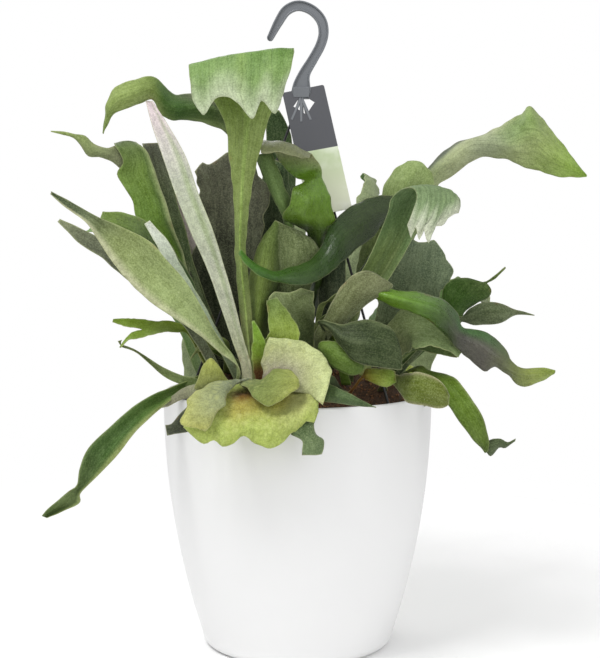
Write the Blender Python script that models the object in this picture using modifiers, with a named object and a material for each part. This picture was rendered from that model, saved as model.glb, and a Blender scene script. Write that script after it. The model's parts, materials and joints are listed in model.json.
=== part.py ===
# A staghorn fern in a white planter.
# The plant grows from one rhizome on the soil of a dark nursery pot, which stands in the planter.
# Three stiff wires rise from the nursery pot's lip to a hook, which carries a card.
# Metres, +Z up. The origin is the middle of the planter's flat foot.
# The plant faces -Y, which is the side it is looked at from.
import math

import bpy
import bmesh
from mathutils import Matrix, Vector
from mathutils.bvhtree import BVHTree

MM = 0.001
CM = 0.01
GAP = 0.3 * MM          # between pieces that rest on each other

# Planter
RIM_RADIUS = 110 * MM
PLANTER_HEIGHT = 210 * MM
PLANTER_TAPER = 34 * MM
PLANTER_CURVE = 2.1
PLANTER_WALL = 3 * MM
FOOT_ROUND = 9 * MM

# Nursery pot, soil and rhizome
POT_RADIUS = 96 * MM
POT_FOOT_RADIUS = 66 * MM
POT_TOP = 197 * MM
POT_WALL = 1.6 * MM
LIP_WIDTH = 3 * MM
LIP_DROP = 8 * MM
DRAIN_HOLES = 6
DRAIN_RADIUS = 5 * MM
SOIL_EDGE = 190 * MM
SOIL_DOME = 15 * MM
CROWN_HEIGHT = 27 * MM
CROWN_SPREAD = 16 * MM
RHIZOME_SKIN = 3 * MM
RHIZOME_RADIUS = 90 * MM
CROWNS = [(-3.0, -5.8), (-6.4, -2.6), (-3.2, -0.6), (2.3, -2.8), (7.0, -1.4), (-0.6, 3.6), (3.6, 5.0)]

# Hanger
HUB_LOW = 447 * MM
HUB_HIGH = 457 * MM
HUB_HALF = 8 * MM
HUB_FRONT = -5 * MM
HUB_BACK = 7 * MM
FINGER_LENGTH = 21 * MM
WIRE_RADIUS = 1.1 * MM
WIRE_SPREAD = 5 * MM
WIRE_START = 3 * MM     # behind the middle of the hook
HOOK_THICK = 6 * MM
HOOK_RECESS = 1.6 * MM
HOOK_FLANGE = 1.5 * MM
HOOK_PATH = [
    (0.3, 45.1, 0.75), (0.35, 45.9, 0.6), (0.6, 46.8, 0.45), (1.25, 47.9, 0.4), (1.85, 49.0, 0.4),
    (2.1, 50.0, 0.4), (1.9, 51.0, 0.4), (1.15, 51.8, 0.4), (0.1, 52.15, 0.4), (-0.85, 51.8, 0.4),
    (-1.5, 50.9, 0.38), (-2.2, 49.6, 0.28),
]
WIRE_FEET = {"wire_left": (-9.05, -3.3), "wire_right": (7.35, -6.2), "wire_back": (1.65, 9.45)}

# Card
TAG_WIDTH = 34 * MM
TAG_LENGTH = 106 * MM
TAG_THICK = 0.9 * MM
TAG_TOP = (0.45, -0.2, 45.5)
TAG_TURN = math.radians(-12)
TAG_LEAN = math.radians(17)
TAG_HOLE = 9 * MM

# Blades
BLADE = 0.9 * MM
SEAT = 0.7 * MM          # from the rhizome up to a stalk's lowest corner
STALK = 2.6 * MM
STALK_LENGTH = 50 * MM
ROW_STEP = 15 * MM
RAIL_STEP = 2 * MM
BEND_PULL = 1.2         # how far a strap's width turns towards the axis of its own bends
LIGHT_PULL = 25         # how fast a blade turns its upper side to where it looks, per metre

# Each frond: root (x, y, width) on the rhizome, then path (x, y, z, width), all in cm.
# face is the way its upper side looks at the root, and look the way that it turns to further on.
# cup and roll are degrees across the blade, and wave is (height in cm, count).
# lobes are (first strip, last strip, path), on from the main blade's last row.
FRONDS = {
    # front crown: the tall curled frond, the left-hand straps and the folded young leaves
    "curl_front": dict(
        root=(-3.4, -6.2, 0.9), face=(0, -1, 0), cup=14, strips=4,
        path=[(-4.2, -7.0, 26.5, 0.5), (-4.8, -7.2, 31.0, 0.8), (-4.6, -7.2, 35.5, 1.3),
              (-4.2, -7.0, 39.5, 2.0), (-3.9, -6.8, 43.0, 3.5), (-4.2, -7.0, 45.7, 5.6),
              (-4.4, -8.3, 47.3, 7.2), (-4.3, -9.7, 46.7, 7.4), (-4.1, -10.3, 45.1, 6.8),
              (-4.0, -10.5, 43.4, 5.6)],
    ),
    "silver_strap": dict(
        root=(-3.9, -7.0, 0.8), face=(0, -1, 0), cup=30, strips=2,
        path=[(-5.0, -8.0, 27.4, 0.7), (-6.0, -8.2, 30.6, 1.0), (-7.0, -8.2, 33.7, 1.3),
              (-8.1, -8.0, 36.7, 1.5), (-9.3, -7.6, 39.6, 1.4), (-10.4, -6.8, 42.3, 1.1),
              (-11.2, -5.6, 44.0, 0.5)],
    ),
    "olive_left": dict(
        root=(-5.1, -6.2, 0.9), face=(0.2, -1, 0.5), cup=24, strips=4,
        path=[(-7.0, -8.4, 27.0, 1.5), (-9.0, -9.4, 29.8, 2.7), (-11.1, -9.8, 31.9, 3.2),
              (-13.3, -9.8, 33.5, 2.6), (-15.2, -9.4, 34.8, 1.6), (-17.0, -8.8, 36.0, 1.1),
              (-18.8, -8.2, 37.0, 0.3)],
    ),
    "under_left": dict(
        root=(-5.3, -5.4, 0.8), face=(0.2, -1, 0.6), cup=20, strips=2,
        path=[(-8.1, -6.8, 26.6, 0.8), (-10.3, -7.2, 29.0, 1.3), (-12.3, -7.2, 30.8, 1.4),
              (-14.6, -7.0, 32.6, 1.2), (-16.4, -6.6, 33.6, 0.9), (-18.5, -6.0, 35.0, 0.3)],
    ),
    "bright_leaf": dict(
        root=(-2.8, -6.9, 1), face=(0, -1, 0), cup=30, strips=2,
        path=[(-2.9, -7.8, 24.9, 1.2), (-3.0, -8.2, 26.0, 0.8), (-3.4, -8.4, 26.9, 0.2)],
    ),
    "olive_rise": dict(
        root=(-1.7, -6.1, 1.2), face=(0, -1, 0), cup=40, strips=4,
        path=[(-1.2, -7.4, 25.4, 2.6), (-1.2, -7.7, 26.6, 2.4), (-1.6, -7.7, 27.7, 1.4),
              (-2.0, -7.5, 28.6, 0.8)],
    ),
    "shield_low": dict(
        root=(-3.4, -7.6, 1.4), face=(0, 0.3, 1), look=(0, -1, 0.6), cup=-22, strips=4,
        scallop=(0.08, 3),
        path=[(-3.9, -9.7, 22.1, 2.8), (-4.4, -11.8, 21.9, 5.0), (-4.5, -13.1, 21.1, 7.4),
              (-4.4, -13.6, 19.9, 9.0), (-4.4, -13.5, 18.6, 7.4)],
    ),
    "shield_fold": dict(
        root=(-4.7, -6.8, 0.9), face=(0, -0.6, 1), look=(0, -1, 0.3), cup=30, strips=4,
        path=[(-5.2, -9.4, 23.7, 1.8), (-5.7, -11.8, 24.0, 2.4), (-6.4, -13.6, 23.0, 3.4),
              (-7.2, -14.7, 21.4, 3.6), (-7.9, -15.1, 20.0, 2.0)],
    ),
    "shield_lip": dict(
        root=(-2.1, -7.9, 0.8), face=(0, -0.6, 1), look=(0, -1, 0.3), cup=30, strips=4,
        path=[(-2.9, -9.8, 23.1, 1.0), (-3.4, -11.8, 23.3, 1.6), (-2.7, -13.5, 23.1, 2.8),
              (-1.7, -14.3, 22.8, 3.2), (-0.5, -14.4, 22.3, 1.6)],
    ),
    "rim_leaf": dict(
        root=(-6.5, -5.4, 0.8), face=(0, 0, 1), look=(0, -1, 0.6), cup=20, strips=2,
        path=[(-8.2, -8.0, 22.6, 1.0), (-9.3, -9.6, 22.4, 1.2), (-10.2, -10.7, 21.4, 1.3),
              (-10.8, -11.5, 20.1, 0.9)],
    ),
    "shield_back": dict(
        root=(-1.1, -7.1, 1), face=(0, -1, 0), look=(0, -1, 0.1), cup=20, strips=4,
        scallop=(0.05, 3),
        path=[(-1.2, -8.6, 24.3, 1.8), (-1.1, -9.8, 24.4, 2.8), (-0.5, -11.1, 23.9, 4.2),
              (0.5, -12.0, 23.4, 6.0), (1.6, -12.6, 23.0, 6.6), (2.4, -12.7, 22.9, 3.6)],
    ),
    "shield_tab": dict(
        root=(-0.1, -7.6, 0.8), face=(0, -0.4, 1), look=(0, -1, 0.2), cup=20, strips=2,
        path=[(0.8, -9.4, 22.2, 1.0), (1.4, -10.7, 21.9, 1.6), (1.5, -11.4, 20.6, 1.9),
              (1.3, -11.4, 18.8, 1.9), (1.1, -11.5, 17.5, 1.0)],
    ),
    # left crown
    "fork_left": dict(
        root=(-6.7, -3.6, 0.8), face=(0.1, -0.6, 1), look=(0, -1, 1), cup=20, strips=4,
        path=[(-8.3, -5.2, 26.0, 0.9), (-9.6, -5.7, 26.6, 1.2), (-10.9, -6.0, 26.6, 1.5),
              (-12.0, -6.2, 26.5, 2.0)],
        lobes=[(0, 2, [(-13.0, -6.7, 25.9, 0.9), (-13.7, -7.1, 25.2, 0.3)]),
               (2, 4, [(-13.2, -6.0, 27.0, 0.9), (-14.4, -6.0, 27.2, 0.3)])],
    ),
    "thin_left": dict(
        root=(-6.5, -4.5, 0.7), face=(0, -0.4, 1), cup=24, strips=2,
        path=[(-8.0, -6.5, 22.9, 0.9), (-9.1, -8.0, 23.5, 1.1), (-10.7, -8.6, 24.0, 0.8),
              (-12.0, -8.8, 24.7, 0.4), (-13.0, -8.8, 25.2, 0.3)],
    ),
    "long_left": dict(
        root=(-7.2, -3.9, 1), face=(0.1, -0.5, 1), look=(0, -1, 0.6), cup=24, strips=4,
        path=[(-9.0, -5.8, 23.3, 1.2), (-10.8, -7.6, 22.2, 1.7), (-12.6, -9.2, 20.5, 2.3),
              (-14.3, -10.2, 18.7, 3.0), (-15.7, -10.4, 16.9, 2.5), (-16.7, -10.2, 15.0, 1.0),
              (-18.1, -9.8, 13.5, 1.4), (-19.8, -9.4, 12.4, 0.4)],
    ),
    # middle crown: the dark fronds behind the straps
    "wavy_left": dict(
        root=(-4.0, -1.6, 0.8), face=(0, -1, 0.2), cup=20, strips=4,
        path=[(-7.3, -4.0, 28.7, 0.7), (-8.8, -4.8, 31.2, 0.9), (-10.3, -5.4, 34.1, 1.9),
              (-11.5, -5.6, 36.3, 2.6), (-12.4, -5.7, 38.1, 2.8), (-12.7, -5.8, 39.7, 2.5)],
        lobes=[(0, 2, [(-14.2, -5.9, 40.4, 1.0), (-15.4, -6.0, 40.3, 0.5), (-16.4, -6.1, 40.9, 0.9),
                       (-17.4, -6.1, 41.5, 0.5), (-18.9, -6.0, 41.9, 0.2)]),
               (2, 4, [(-12.4, -5.4, 41.0, 1.1), (-13.2, -5.0, 41.8, 0.8), (-14.2, -4.8, 42.0, 0.3)])],
    ),
    "dark_left": dict(
        root=(-4.1, 0.0, 0.8), face=(0.2, -1, 0), cup=30, strips=2,
        path=[(-7.2, -1.0, 29.7, 1.3), (-8.6, -2.0, 33.4, 1.8), (-9.8, -2.8, 36.6, 2.0),
              (-10.8, -3.3, 39.1, 2.0), (-11.8, -3.4, 41.0, 1.5)],
    ),
    "dark_lobe": dict(
        root=(-4.6, -2.4, 0.8), face=(0, -1, 0.4), cup=20, strips=4,
        path=[(-7.3, -5.0, 27.3, 0.8), (-9.1, -5.8, 30.4, 1.4), (-10.8, -6.4, 32.7, 1.9),
              (-12.1, -6.8, 34.1, 1.9), (-13.6, -7.0, 34.8, 1.4), (-15.1, -7.0, 35.3, 0.5)],
    ),
    "sliver_left": dict(
        root=(-4.4, -5.0, 0.6), face=(0, -1, 0.2), cup=30, strips=2,
        path=[(-7.2, -7.6, 27.9, 0.5), (-8.9, -8.4, 30.7, 0.8), (-10.1, -8.6, 33.0, 0.8),
              (-11.4, -8.5, 34.9, 0.4)],
    ),
    "grey_broad": dict(
        root=(-3.2, -1.4, 1), face=(0, -1, 0), cup=24, strips=4,
        path=[(-4.8, -2.9, 29.4, 1.6), (-5.2, -3.1, 33.0, 2.9), (-5.4, -3.3, 36.2, 4.4),
              (-5.6, -3.4, 38.5, 5.5), (-5.8, -3.4, 40.1, 5.0)],
    ),
    "centre_green": dict(
        root=(-2.4, -2.2, 1), face=(0, -1, 0), cup=40, strips=4,
        path=[(-3.1, -5.0, 27.9, 1.7), (-3.1, -5.8, 30.3, 2.3), (-2.7, -6.1, 32.7, 1.8),
              (-2.0, -6.0, 34.8, 0.4)],
    ),
    # right crown: the S ribbon, the curled frond and the blades before them
    "ribbon_s": dict(
        root=(2.6, -1.9, 1), face=(0.3, -1, 0), cup=30, strips=4,
        path=[(5.2, -1.6, 30.3, 1.5), (6.9, -1.9, 33.8, 2.0), (7.9, -2.5, 35.9, 2.0),
              (7.0, -3.5, 36.2, 2.2), (5.2, -4.5, 35.2, 3.0), (3.2, -6.3, 33.1, 3.3),
              (1.3, -7.9, 31.5, 2.7), (-0.7, -8.8, 30.7, 1.6), (-2.7, -9.1, 31.1, 1.2),
              (-4.3, -9.0, 32.4, 0.6)],
    ),
    "curl_right": dict(
        root=(2.7, -3.4, 1), face=(0, -1, 0), cup=44, strips=4,
        path=[(4.0, -6.2, 28.8, 2.0), (5.7, -7.6, 32.3, 2.6), (7.3, -8.0, 35.0, 3.2),
              (8.8, -8.1, 36.8, 3.9), (10.1, -8.9, 37.3, 4.4), (10.7, -10.0, 36.6, 4.2),
              (10.5, -10.5, 35.2, 3.4), (9.8, -10.4, 33.7, 2.4)],
    ),
    "brown_front": dict(
        root=(2.3, -4.5, 1), face=(0, -1, 0.3), cup=30, strips=4,
        path=[(3.4, -6.6, 27.4, 1.9), (4.3, -7.8, 29.0, 2.6), (5.3, -8.4, 30.1, 3.0),
              (6.4, -8.6, 30.6, 3.0)],
    ),
    "glossy_right": dict(
        root=(3.9, -3.9, 0.8), face=(0, -1, 0.8), cup=50, strips=4,
        path=[(4.9, -5.9, 26.9, 0.8), (6.5, -7.0, 28.4, 1.0), (8.3, -7.4, 28.8, 1.2),
              (10.2, -7.6, 28.4, 1.5), (11.7, -7.5, 27.5, 1.8), (12.9, -7.1, 26.2, 1.9),
              (14.2, -6.8, 24.9, 2.4), (15.4, -6.6, 23.9, 1.2), (16.8, -6.6, 23.1, 1.2),
              (18.1, -6.4, 22.7, 1.7), (20.3, -6.0, 23.2, 0.4)],
    ),
    "dark_front": dict(
        root=(1.7, -5.0, 0.8), face=(0.2, -1, 0.6), cup=20, strips=4,
        path=[(1.7, -7.4, 26.6, 1.1), (2.9, -9.2, 27.2, 2.4), (4.5, -10.2, 26.2, 3.6),
              (6.2, -10.8, 25.1, 3.6), (7.9, -11.0, 23.8, 0.9)],
    ),
    "small_round": dict(
        root=(2.9, -4.9, 0.8), face=(0, -1, 0.3), cup=24, strips=4,
        path=[(3.1, -6.6, 24.3, 1.9), (4.0, -7.6, 24.3, 2.1), (5.0, -8.4, 23.4, 0.7)],
    ),
    "soil_leaf": dict(
        root=(3.9, -4.6, 0.6), face=(0, -0.5, 1), cup=30, strips=2,
        path=[(3.7, -7.4, 22.3, 1.0), (4.4, -9.6, 22.3, 1.3), (5.2, -11.3, 22.0, 0.9),
              (6.4, -12.2, 21.1, 0.3)],
    ),
    "thin_stalk": dict(
        root=(1.3, -4.6, 0.5), face=(0, -1, 0), cup=30, strips=2,
        path=[(1.7, -6.2, 27.8, 0.5), (2.5, -7.0, 28.9, 0.5), (3.3, -7.1, 29.4, 0.4)],
    ),
    "olive_cup": dict(
        root=(1.2, -3.4, 1), face=(0, -1, 0), cup=50, strips=4,
        path=[(0.5, -5.2, 26.8, 1.9), (0.0, -6.1, 28.2, 3.0), (-0.5, -6.5, 29.1, 4.0),
              (-0.7, -6.6, 29.7, 4.2)],
    ),
    # low right crown
    "fork_right": dict(
        root=(7.7, -0.9, 1), face=(0, -0.7, 1), look=(0, -1, 0.6), cup=20, strips=4,
        path=[(10.2, -2.4, 26.1, 1.8), (11.6, -3.1, 27.4, 2.6), (12.7, -3.6, 28.1, 3.2)],
        lobes=[(2, 4, [(14.5, -4.4, 27.5, 1.8), (16.1, -4.4, 27.6, 1.6), (17.5, -4.2, 27.6, 0.9),
                       (19.0, -3.8, 27.4, 0.3)]),
               (0, 2, [(13.5, -3.2, 29.5, 1.8), (14.8, -3.2, 30.1, 1.6), (15.8, -3.0, 30.0, 0.5)])],
    ),
    "pale_front": dict(
        root=(6.5, -1.9, 1), face=(0, -1, 0.4), cup=30, strips=4,
        path=[(8.1, -5.4, 25.9, 2.6), (9.2, -6.2, 26.6, 3.4), (10.5, -6.4, 26.4, 3.1),
              (11.6, -6.4, 25.7, 2.0), (12.5, -6.2, 24.8, 0.5)],
    ),
    "broad_right": dict(
        root=(6.5, -0.1, 1), face=(-0.2, -1, 0.2), cup=24, strips=4,
        path=[(8.1, 0.0, 27.2, 3.2), (8.9, 0.0, 29.4, 5.2), (9.5, -0.2, 31.3, 6.0),
              (9.9, -0.4, 33.2, 4.0)],
    ),
    "low_right": dict(
        root=(6.8, -3.4, 0.8), face=(0, -0.6, 1), look=(0, -1, 0.6), cup=24, strips=4,
        path=[(8.0, -6.4, 23.0, 1.5), (8.8, -8.8, 23.2, 2.3), (9.6, -10.8, 22.8, 2.6),
              (10.7, -11.8, 22.0, 2.0), (11.9, -12.0, 21.2, 0.5)],
    ),
    "long_right": dict(
        root=(7.8, -2.3, 1), face=(0, -0.5, 1), look=(0, -1, 0.6), cup=24, strips=4,
        path=[(10.0, -5.0, 23.5, 1.6), (11.6, -7.2, 22.7, 2.4), (13.0, -8.2, 20.9, 2.9),
              (14.2, -8.6, 19.0, 2.3), (14.9, -8.5, 17.4, 0.9), (15.8, -8.0, 17.1, 1.2),
              (17.1, -7.4, 17.9, 0.4)],
    ),
    "thin_right": dict(
        root=(7.3, -1.6, 0.6), face=(0, -0.6, 1), cup=30, strips=2,
        path=[(9.2, -4.0, 24.8, 0.6), (10.9, -5.0, 24.8, 0.7), (12.6, -5.4, 24.4, 0.3)],
    ),
    # back crowns: the long fronds that rise behind, and those that the front hides
    "arch_left": dict(
        root=(-1.4, 3.4, 1), face=(0, -1, 0), cup=24, strips=4,
        path=[(-2.6, 2.0, 28.5, 1.0), (-3.4, 0.6, 33.5, 1.4), (-4.1, -0.6, 38.2, 1.9),
              (-4.9, -1.6, 41.5, 2.3), (-6.7, -2.6, 43.6, 2.6), (-8.8, -3.4, 43.9, 2.4),
              (-10.5, -4.2, 44.5, 3.1), (-11.8, -5.0, 45.0, 2.6), (-13.4, -5.6, 44.6, 2.0),
              (-14.6, -5.8, 43.2, 1.1), (-15.1, -5.8, 41.5, 0.4)],
    ),
    "top_fold": dict(
        root=(-0.2, 2.4, 1), face=(0, -1, 0), cup=44, strips=4,
        path=[(0.9, 0.4, 29.0, 1.4), (1.1, -1.2, 32.1, 1.8), (1.1, -3.3, 34.6, 2.6),
              (0.9, -5.2, 36.7, 3.8), (0.6, -6.1, 38.8, 3.6), (0.0, -6.4, 40.3, 3.0),
              (-0.9, -6.7, 41.0, 2.2), (-2.0, -6.9, 40.5, 1.4), (-2.6, -7.0, 40.0, 0.5)],
    ),
    "olive_mid": dict(
        root=(0.2, 1.2, 1), face=(0, -1, 0), cup=30, strips=4,
        path=[(0.3, -3.6, 28.4, 2.4), (0.1, -4.9, 30.8, 3.0), (0.1, -5.6, 32.4, 3.4),
              (-0.2, -5.8, 33.6, 2.6), (-1.0, -5.7, 34.6, 0.9)],
    ),
    "behind_tag": dict(
        root=(-0.5, 4.2, 0.8), face=(0, -1, 0), cup=20, strips=2,
        path=[(-0.8, 4.4, 28.1, 0.9), (-1.1, 3.8, 34.0, 1.4), (-1.4, 3.0, 39.1, 2.0),
              (-1.7, 2.4, 42.5, 1.5), (-1.9, 2.0, 43.7, 0.5)],
    ),
    "back_strap": dict(
        root=(-1.6, 4.3, 0.8), face=(0, -1, 0), cup=20, strips=2,
        path=[(-2.1, 3.9, 28.2, 0.9), (-1.9, 2.6, 32.4, 1.2), (-3.0, 1.8, 35.5, 1.6),
              (-5.1, 1.4, 38.0, 1.4), (-6.8, 1.2, 39.6, 0.5)],
    ),
    "back_right": dict(
        root=(3.4, 4.4, 1), face=(0, -1, 0.2), cup=24, strips=4,
        path=[(4.2, 2.8, 30.5, 1.1), (6.4, 1.6, 34.6, 1.9), (8.5, 0.6, 37.4, 2.7),
              (10.6, -0.4, 38.7, 1.8), (12.7, -1.4, 39.9, 1.4), (14.7, -2.0, 40.9, 1.9),
              (16.8, -2.4, 41.4, 3.2), (18.5, -2.6, 41.2, 4.6), (20.2, -2.4, 40.2, 3.2),
              (21.8, -2.2, 39.2, 1.4), (23.1, -2.0, 38.6, 0.3)],
    ),
    "rear_left": dict(
        root=(-2.3, 4.6, 1), face=(0.3, 1, 0.2), cup=24, strips=4, look=(0.3, 1, 0.2),
        path=[(-5.0, 7.4, 28.0, 2.2), (-7.2, 9.6, 33.0, 3.6), (-8.6, 11.2, 36.4, 5.0)],
        lobes=[(0, 2, [(-7.4, 12.8, 38.9, 1.9), (-7.0, 14.2, 39.8, 1.6), (-7.2, 15.4, 39.8, 0.6)]),
               (2, 4, [(-10.8, 12.4, 38.0, 1.9), (-12.2, 13.4, 38.4, 1.6), (-13.6, 14.2, 37.8, 0.6)])],
    ),
    "rear_right": dict(
        root=(3.9, 5.6, 1), face=(-0.3, 1, 0.2), cup=24, strips=4, look=(-0.3, 1, 0.2),
        path=[(4.8, 8.2, 28.4, 2.4), (6.2, 11.0, 33.0, 4), (7.8, 13.2, 36.0, 5.2)],
        lobes=[(2, 4, [(6.9, 15.2, 38.2, 1.9), (6.6, 16.8, 38.7, 1.6), (6.6, 18.0, 38.2, 0.6)]),
               (0, 2, [(10.2, 14.6, 37.2, 1.9), (11.8, 15.6, 37.5, 1.7), (13.2, 16.2, 36.7, 0.6)])],
    ),
    "rear_centre": dict(
        root=(-0.3, 4.9, 1), face=(0, 1, 0.2), cup=30, strips=4, look=(0, 1, 0.2),
        path=[(-1.0, 9.0, 27.0, 3.0), (-1.6, 12.6, 30.6, 5.2), (-2.0, 15.0, 34.4, 5.8),
              (-2.4, 16.8, 37.2, 4.0), (-3.0, 18.4, 37.8, 1.6)],
    ),
    "rear_drop_left": dict(
        root=(-3.0, 3.4, 1), face=(0, 0.4, 1), cup=24, strips=4, look=(-0.3, 0.6, 1),
        path=[(-6.4, 7.0, 25.0, 2.2), (-9.2, 10.6, 25.6, 3.6), (-10.8, 13.6, 24.0, 3.8),
              (-11.4, 15.6, 20.6, 2.6), (-11.6, 16.4, 17.2, 0.8)],
    ),
    "rear_drop_right": dict(
        root=(4.9, 4.9, 1), face=(0, 0.4, 1), cup=24, look=(0.3, 0.6, 1), strips=4,
        path=[(7.4, 9.0, 25.6, 2.8), (9.4, 13.0, 26.6, 4.4), (11.0, 16.0, 25.0, 4.4),
              (11.4, 17.4, 21.6, 3), (11.2, 18.0, 17.8, 1)],
    ),
    "rear_shield": dict(
        root=(4.9, 6.3, 1.4), face=(0, -0.3, 1), look=(0.3, 1, 0.3), cup=-24, strips=4,
        scallop=(0.06, 3),
        path=[(5.8, 8.6, 22.6, 4.2), (6.6, 11.0, 22.6, 7.2), (7.2, 12.8, 21.6, 9.0),
              (7.5, 13.6, 20.0, 8.6), (7.5, 13.6, 18.6, 5.0)],
    ),
    "side_left": dict(
        root=(-7.5, -1.6, 1), face=(-1, 0, 0.8), cup=24, look=(-0.5, 0.3, 1), strips=4,
        path=[(-10.0, 1.6, 27.0, 2.6), (-13.4, 4.0, 31.0, 3.6), (-16.4, 6.0, 33.0, 3.6),
              (-18.6, 7.6, 33.0, 1.6)],
    ),
    "side_right": dict(
        root=(7.8, 0.4, 1), face=(1, 0, 0.8), cup=24, look=(0.5, 0.3, 1), strips=4,
        path=[(10.6, 3.4, 26.6, 2.6), (13.2, 5.6, 29.0, 3.8), (15.4, 7.8, 29.6, 3.6),
              (17.0, 10.4, 28.0, 1.6)],
    ),
}

GREENS = {
    "leaf_green": (0.10, 0.24, 0.05),
    "leaf_dark": (0.04, 0.10, 0.04),
    "leaf_pale": (0.34, 0.45, 0.26),
    "shield_yellow": (0.50, 0.52, 0.16),
}
PALE = {"silver_strap", "olive_left", "olive_mid", "olive_cup", "pale_front", "sliver_left"}
DARK = {"under_left", "dark_left", "dark_lobe", "grey_broad", "dark_front", "broad_right", "behind_tag"}
SHIELDS = {"shield_low", "shield_back", "rear_shield"}

fern = bpy.data.collections.new("staghorn_fern")
cutters = bpy.data.collections.new("cutters")


def material(name, colour, roughness, metallic=0.0):
    made = bpy.data.materials.get(name) or bpy.data.materials.new(name)
    made.use_nodes = True
    shader = made.node_tree.nodes["Principled BSDF"]
    shader.inputs["Base Color"].default_value = (*colour, 1.0)
    shader.inputs["Roughness"].default_value = roughness
    shader.inputs["Metallic"].default_value = metallic
    return made


def place(name, bm, look=None):
    mesh = bpy.data.meshes.new(name)
    bm.to_mesh(mesh)
    bm.free()
    made = bpy.data.objects.new(name, mesh)
    if look:
        mesh.materials.append(look)
        fern.objects.link(made)
    else:
        made.hide_render = True
        made.display_type = "WIRE"
        cutters.objects.link(made)
    return made


def cut(body, tool, operation="DIFFERENCE"):
    change = body.modifiers.new(operation.lower(), "BOOLEAN")
    change.operation = operation
    change.object = tool


# Turned pieces: a profile from the axis, round the outside and back to the axis
def turned(name, profile, steps, look):
    bm = bmesh.new()
    points = [bm.verts.new((radius, 0, height)) for radius, height in profile]
    for first, second in zip(points, points[1:]):
        bm.edges.new((first, second))
    made = place(name, bm, look)
    spin = made.modifiers.new("turn", "SCREW")
    spin.steps = steps
    spin.render_steps = steps
    spin.use_merge_vertices = True
    spin.merge_threshold = 0.00001
    return made


def planter_radius(height):
    return RIM_RADIUS - PLANTER_TAPER * (1 - height / PLANTER_HEIGHT) ** PLANTER_CURVE


def make_planter():
    heights = [PLANTER_HEIGHT * (1 - step / 7) for step in range(7)]
    outer = [(planter_radius(height), height) for height in heights]
    outer[0] = (RIM_RADIUS, PLANTER_HEIGHT - PLANTER_WALL / 2)
    foot = []
    for step in range(4):
        turn = math.pi / 2 * step / 3
        radius = planter_radius(FOOT_ROUND) - FOOT_ROUND * (1 - math.cos(turn))
        foot.append((radius, FOOT_ROUND * (1 - math.sin(turn))))
    inner = [(radius - PLANTER_WALL, height) for radius, height in reversed(outer[1:])]
    floor_edge = (planter_radius(FOOT_ROUND) - FOOT_ROUND, PLANTER_WALL)
    rim = [(RIM_RADIUS - PLANTER_WALL, PLANTER_HEIGHT - PLANTER_WALL / 2),
           (RIM_RADIUS - PLANTER_WALL / 2, PLANTER_HEIGHT)]
    profile = [(0, PLANTER_WALL), floor_edge] + inner + rim + outer + foot + [(0, 0)]
    return turned("planter", profile, 48, material("white_plastic", (0.85, 0.85, 0.84), 0.4))


def pot_radius(height):
    share = (height - PLANTER_WALL) / (POT_TOP - PLANTER_WALL)
    return POT_FOOT_RADIUS + (POT_RADIUS - POT_FOOT_RADIUS) * share


def make_nursery_pot():
    low = PLANTER_WALL + GAP
    inside = POT_RADIUS - POT_WALL
    profile = [
        (0, low + POT_WALL), (POT_FOOT_RADIUS - POT_WALL, low + POT_WALL), (inside, POT_TOP),
        (POT_RADIUS + LIP_WIDTH, POT_TOP), (POT_RADIUS + LIP_WIDTH, POT_TOP - LIP_DROP),
        (pot_radius(POT_TOP - LIP_DROP), POT_TOP - LIP_DROP), (POT_FOOT_RADIUS, low), (0, low),
    ]
    pot = turned("nursery_pot", profile, 40, material("nursery_plastic", (0.03, 0.03, 0.03), 0.5))
    bm = bmesh.new()
    for hole in range(DRAIN_HOLES):
        turn = 2 * math.pi * hole / DRAIN_HOLES
        seat = Vector((math.cos(turn), math.sin(turn), 0)) * POT_FOOT_RADIUS * 0.6
        seat.z = low
        bmesh.ops.create_cone(bm, cap_ends=True, segments=10, radius1=DRAIN_RADIUS,
                              radius2=DRAIN_RADIUS, depth=6 * POT_WALL,
                              matrix=Matrix.Translation(seat))
    cut(pot, place("drain_holes", bm))
    return pot


def soil_top(x, y):
    share = min(1.0, math.hypot(x, y) / POT_RADIUS)
    return SOIL_EDGE + SOIL_DOME * (1 - share ** 2)


def make_soil():
    low = PLANTER_WALL + POT_WALL + 2 * GAP
    radii = [POT_RADIUS * step / 6 for step in range(6)]
    edge = pot_radius(SOIL_EDGE) - POT_WALL - 2 * GAP
    top = [(radius, soil_top(radius, 0)) for radius in radii]
    profile = top + [(edge, SOIL_EDGE), (POT_FOOT_RADIUS - POT_WALL - 2 * GAP, low), (0, low)]
    return turned("soil", profile, 40, material("soil", (0.05, 0.03, 0.02), 0.95))


def crown_rise(x, y):
    total = 0.0
    for crown_x, crown_y in CROWNS:
        away = math.hypot(x - crown_x * CM, y - crown_y * CM)
        total = max(total, math.exp(-(away / CROWN_SPREAD) ** 2 / 2))
    return CROWN_HEIGHT * total


def make_rhizome():
    # a ball pressed flat: its lower half lies on the soil and its upper half rises at the crowns
    bm = bmesh.new()
    bmesh.ops.create_uvsphere(bm, u_segments=40, v_segments=24, radius=1)
    for vert in bm.verts:
        polar = math.acos(max(-1.0, min(1.0, abs(vert.co.z))))
        round_axis = math.atan2(vert.co.y, vert.co.x)
        share = polar / (math.pi / 2)
        x = RHIZOME_RADIUS * share * math.cos(round_axis)
        y = RHIZOME_RADIUS * share * math.sin(round_axis)
        height = soil_top(x, y) + 3 * GAP
        if vert.co.z > 0.001:
            height += RHIZOME_SKIN + crown_rise(x, y)
        elif vert.co.z > -0.001:
            height += RHIZOME_SKIN / 2
        vert.co = (x, y, height)
    bmesh.ops.recalc_face_normals(bm, faces=bm.faces[:])
    return place("rhizome", bm, material("rhizome", (0.12, 0.07, 0.03), 0.9))


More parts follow.
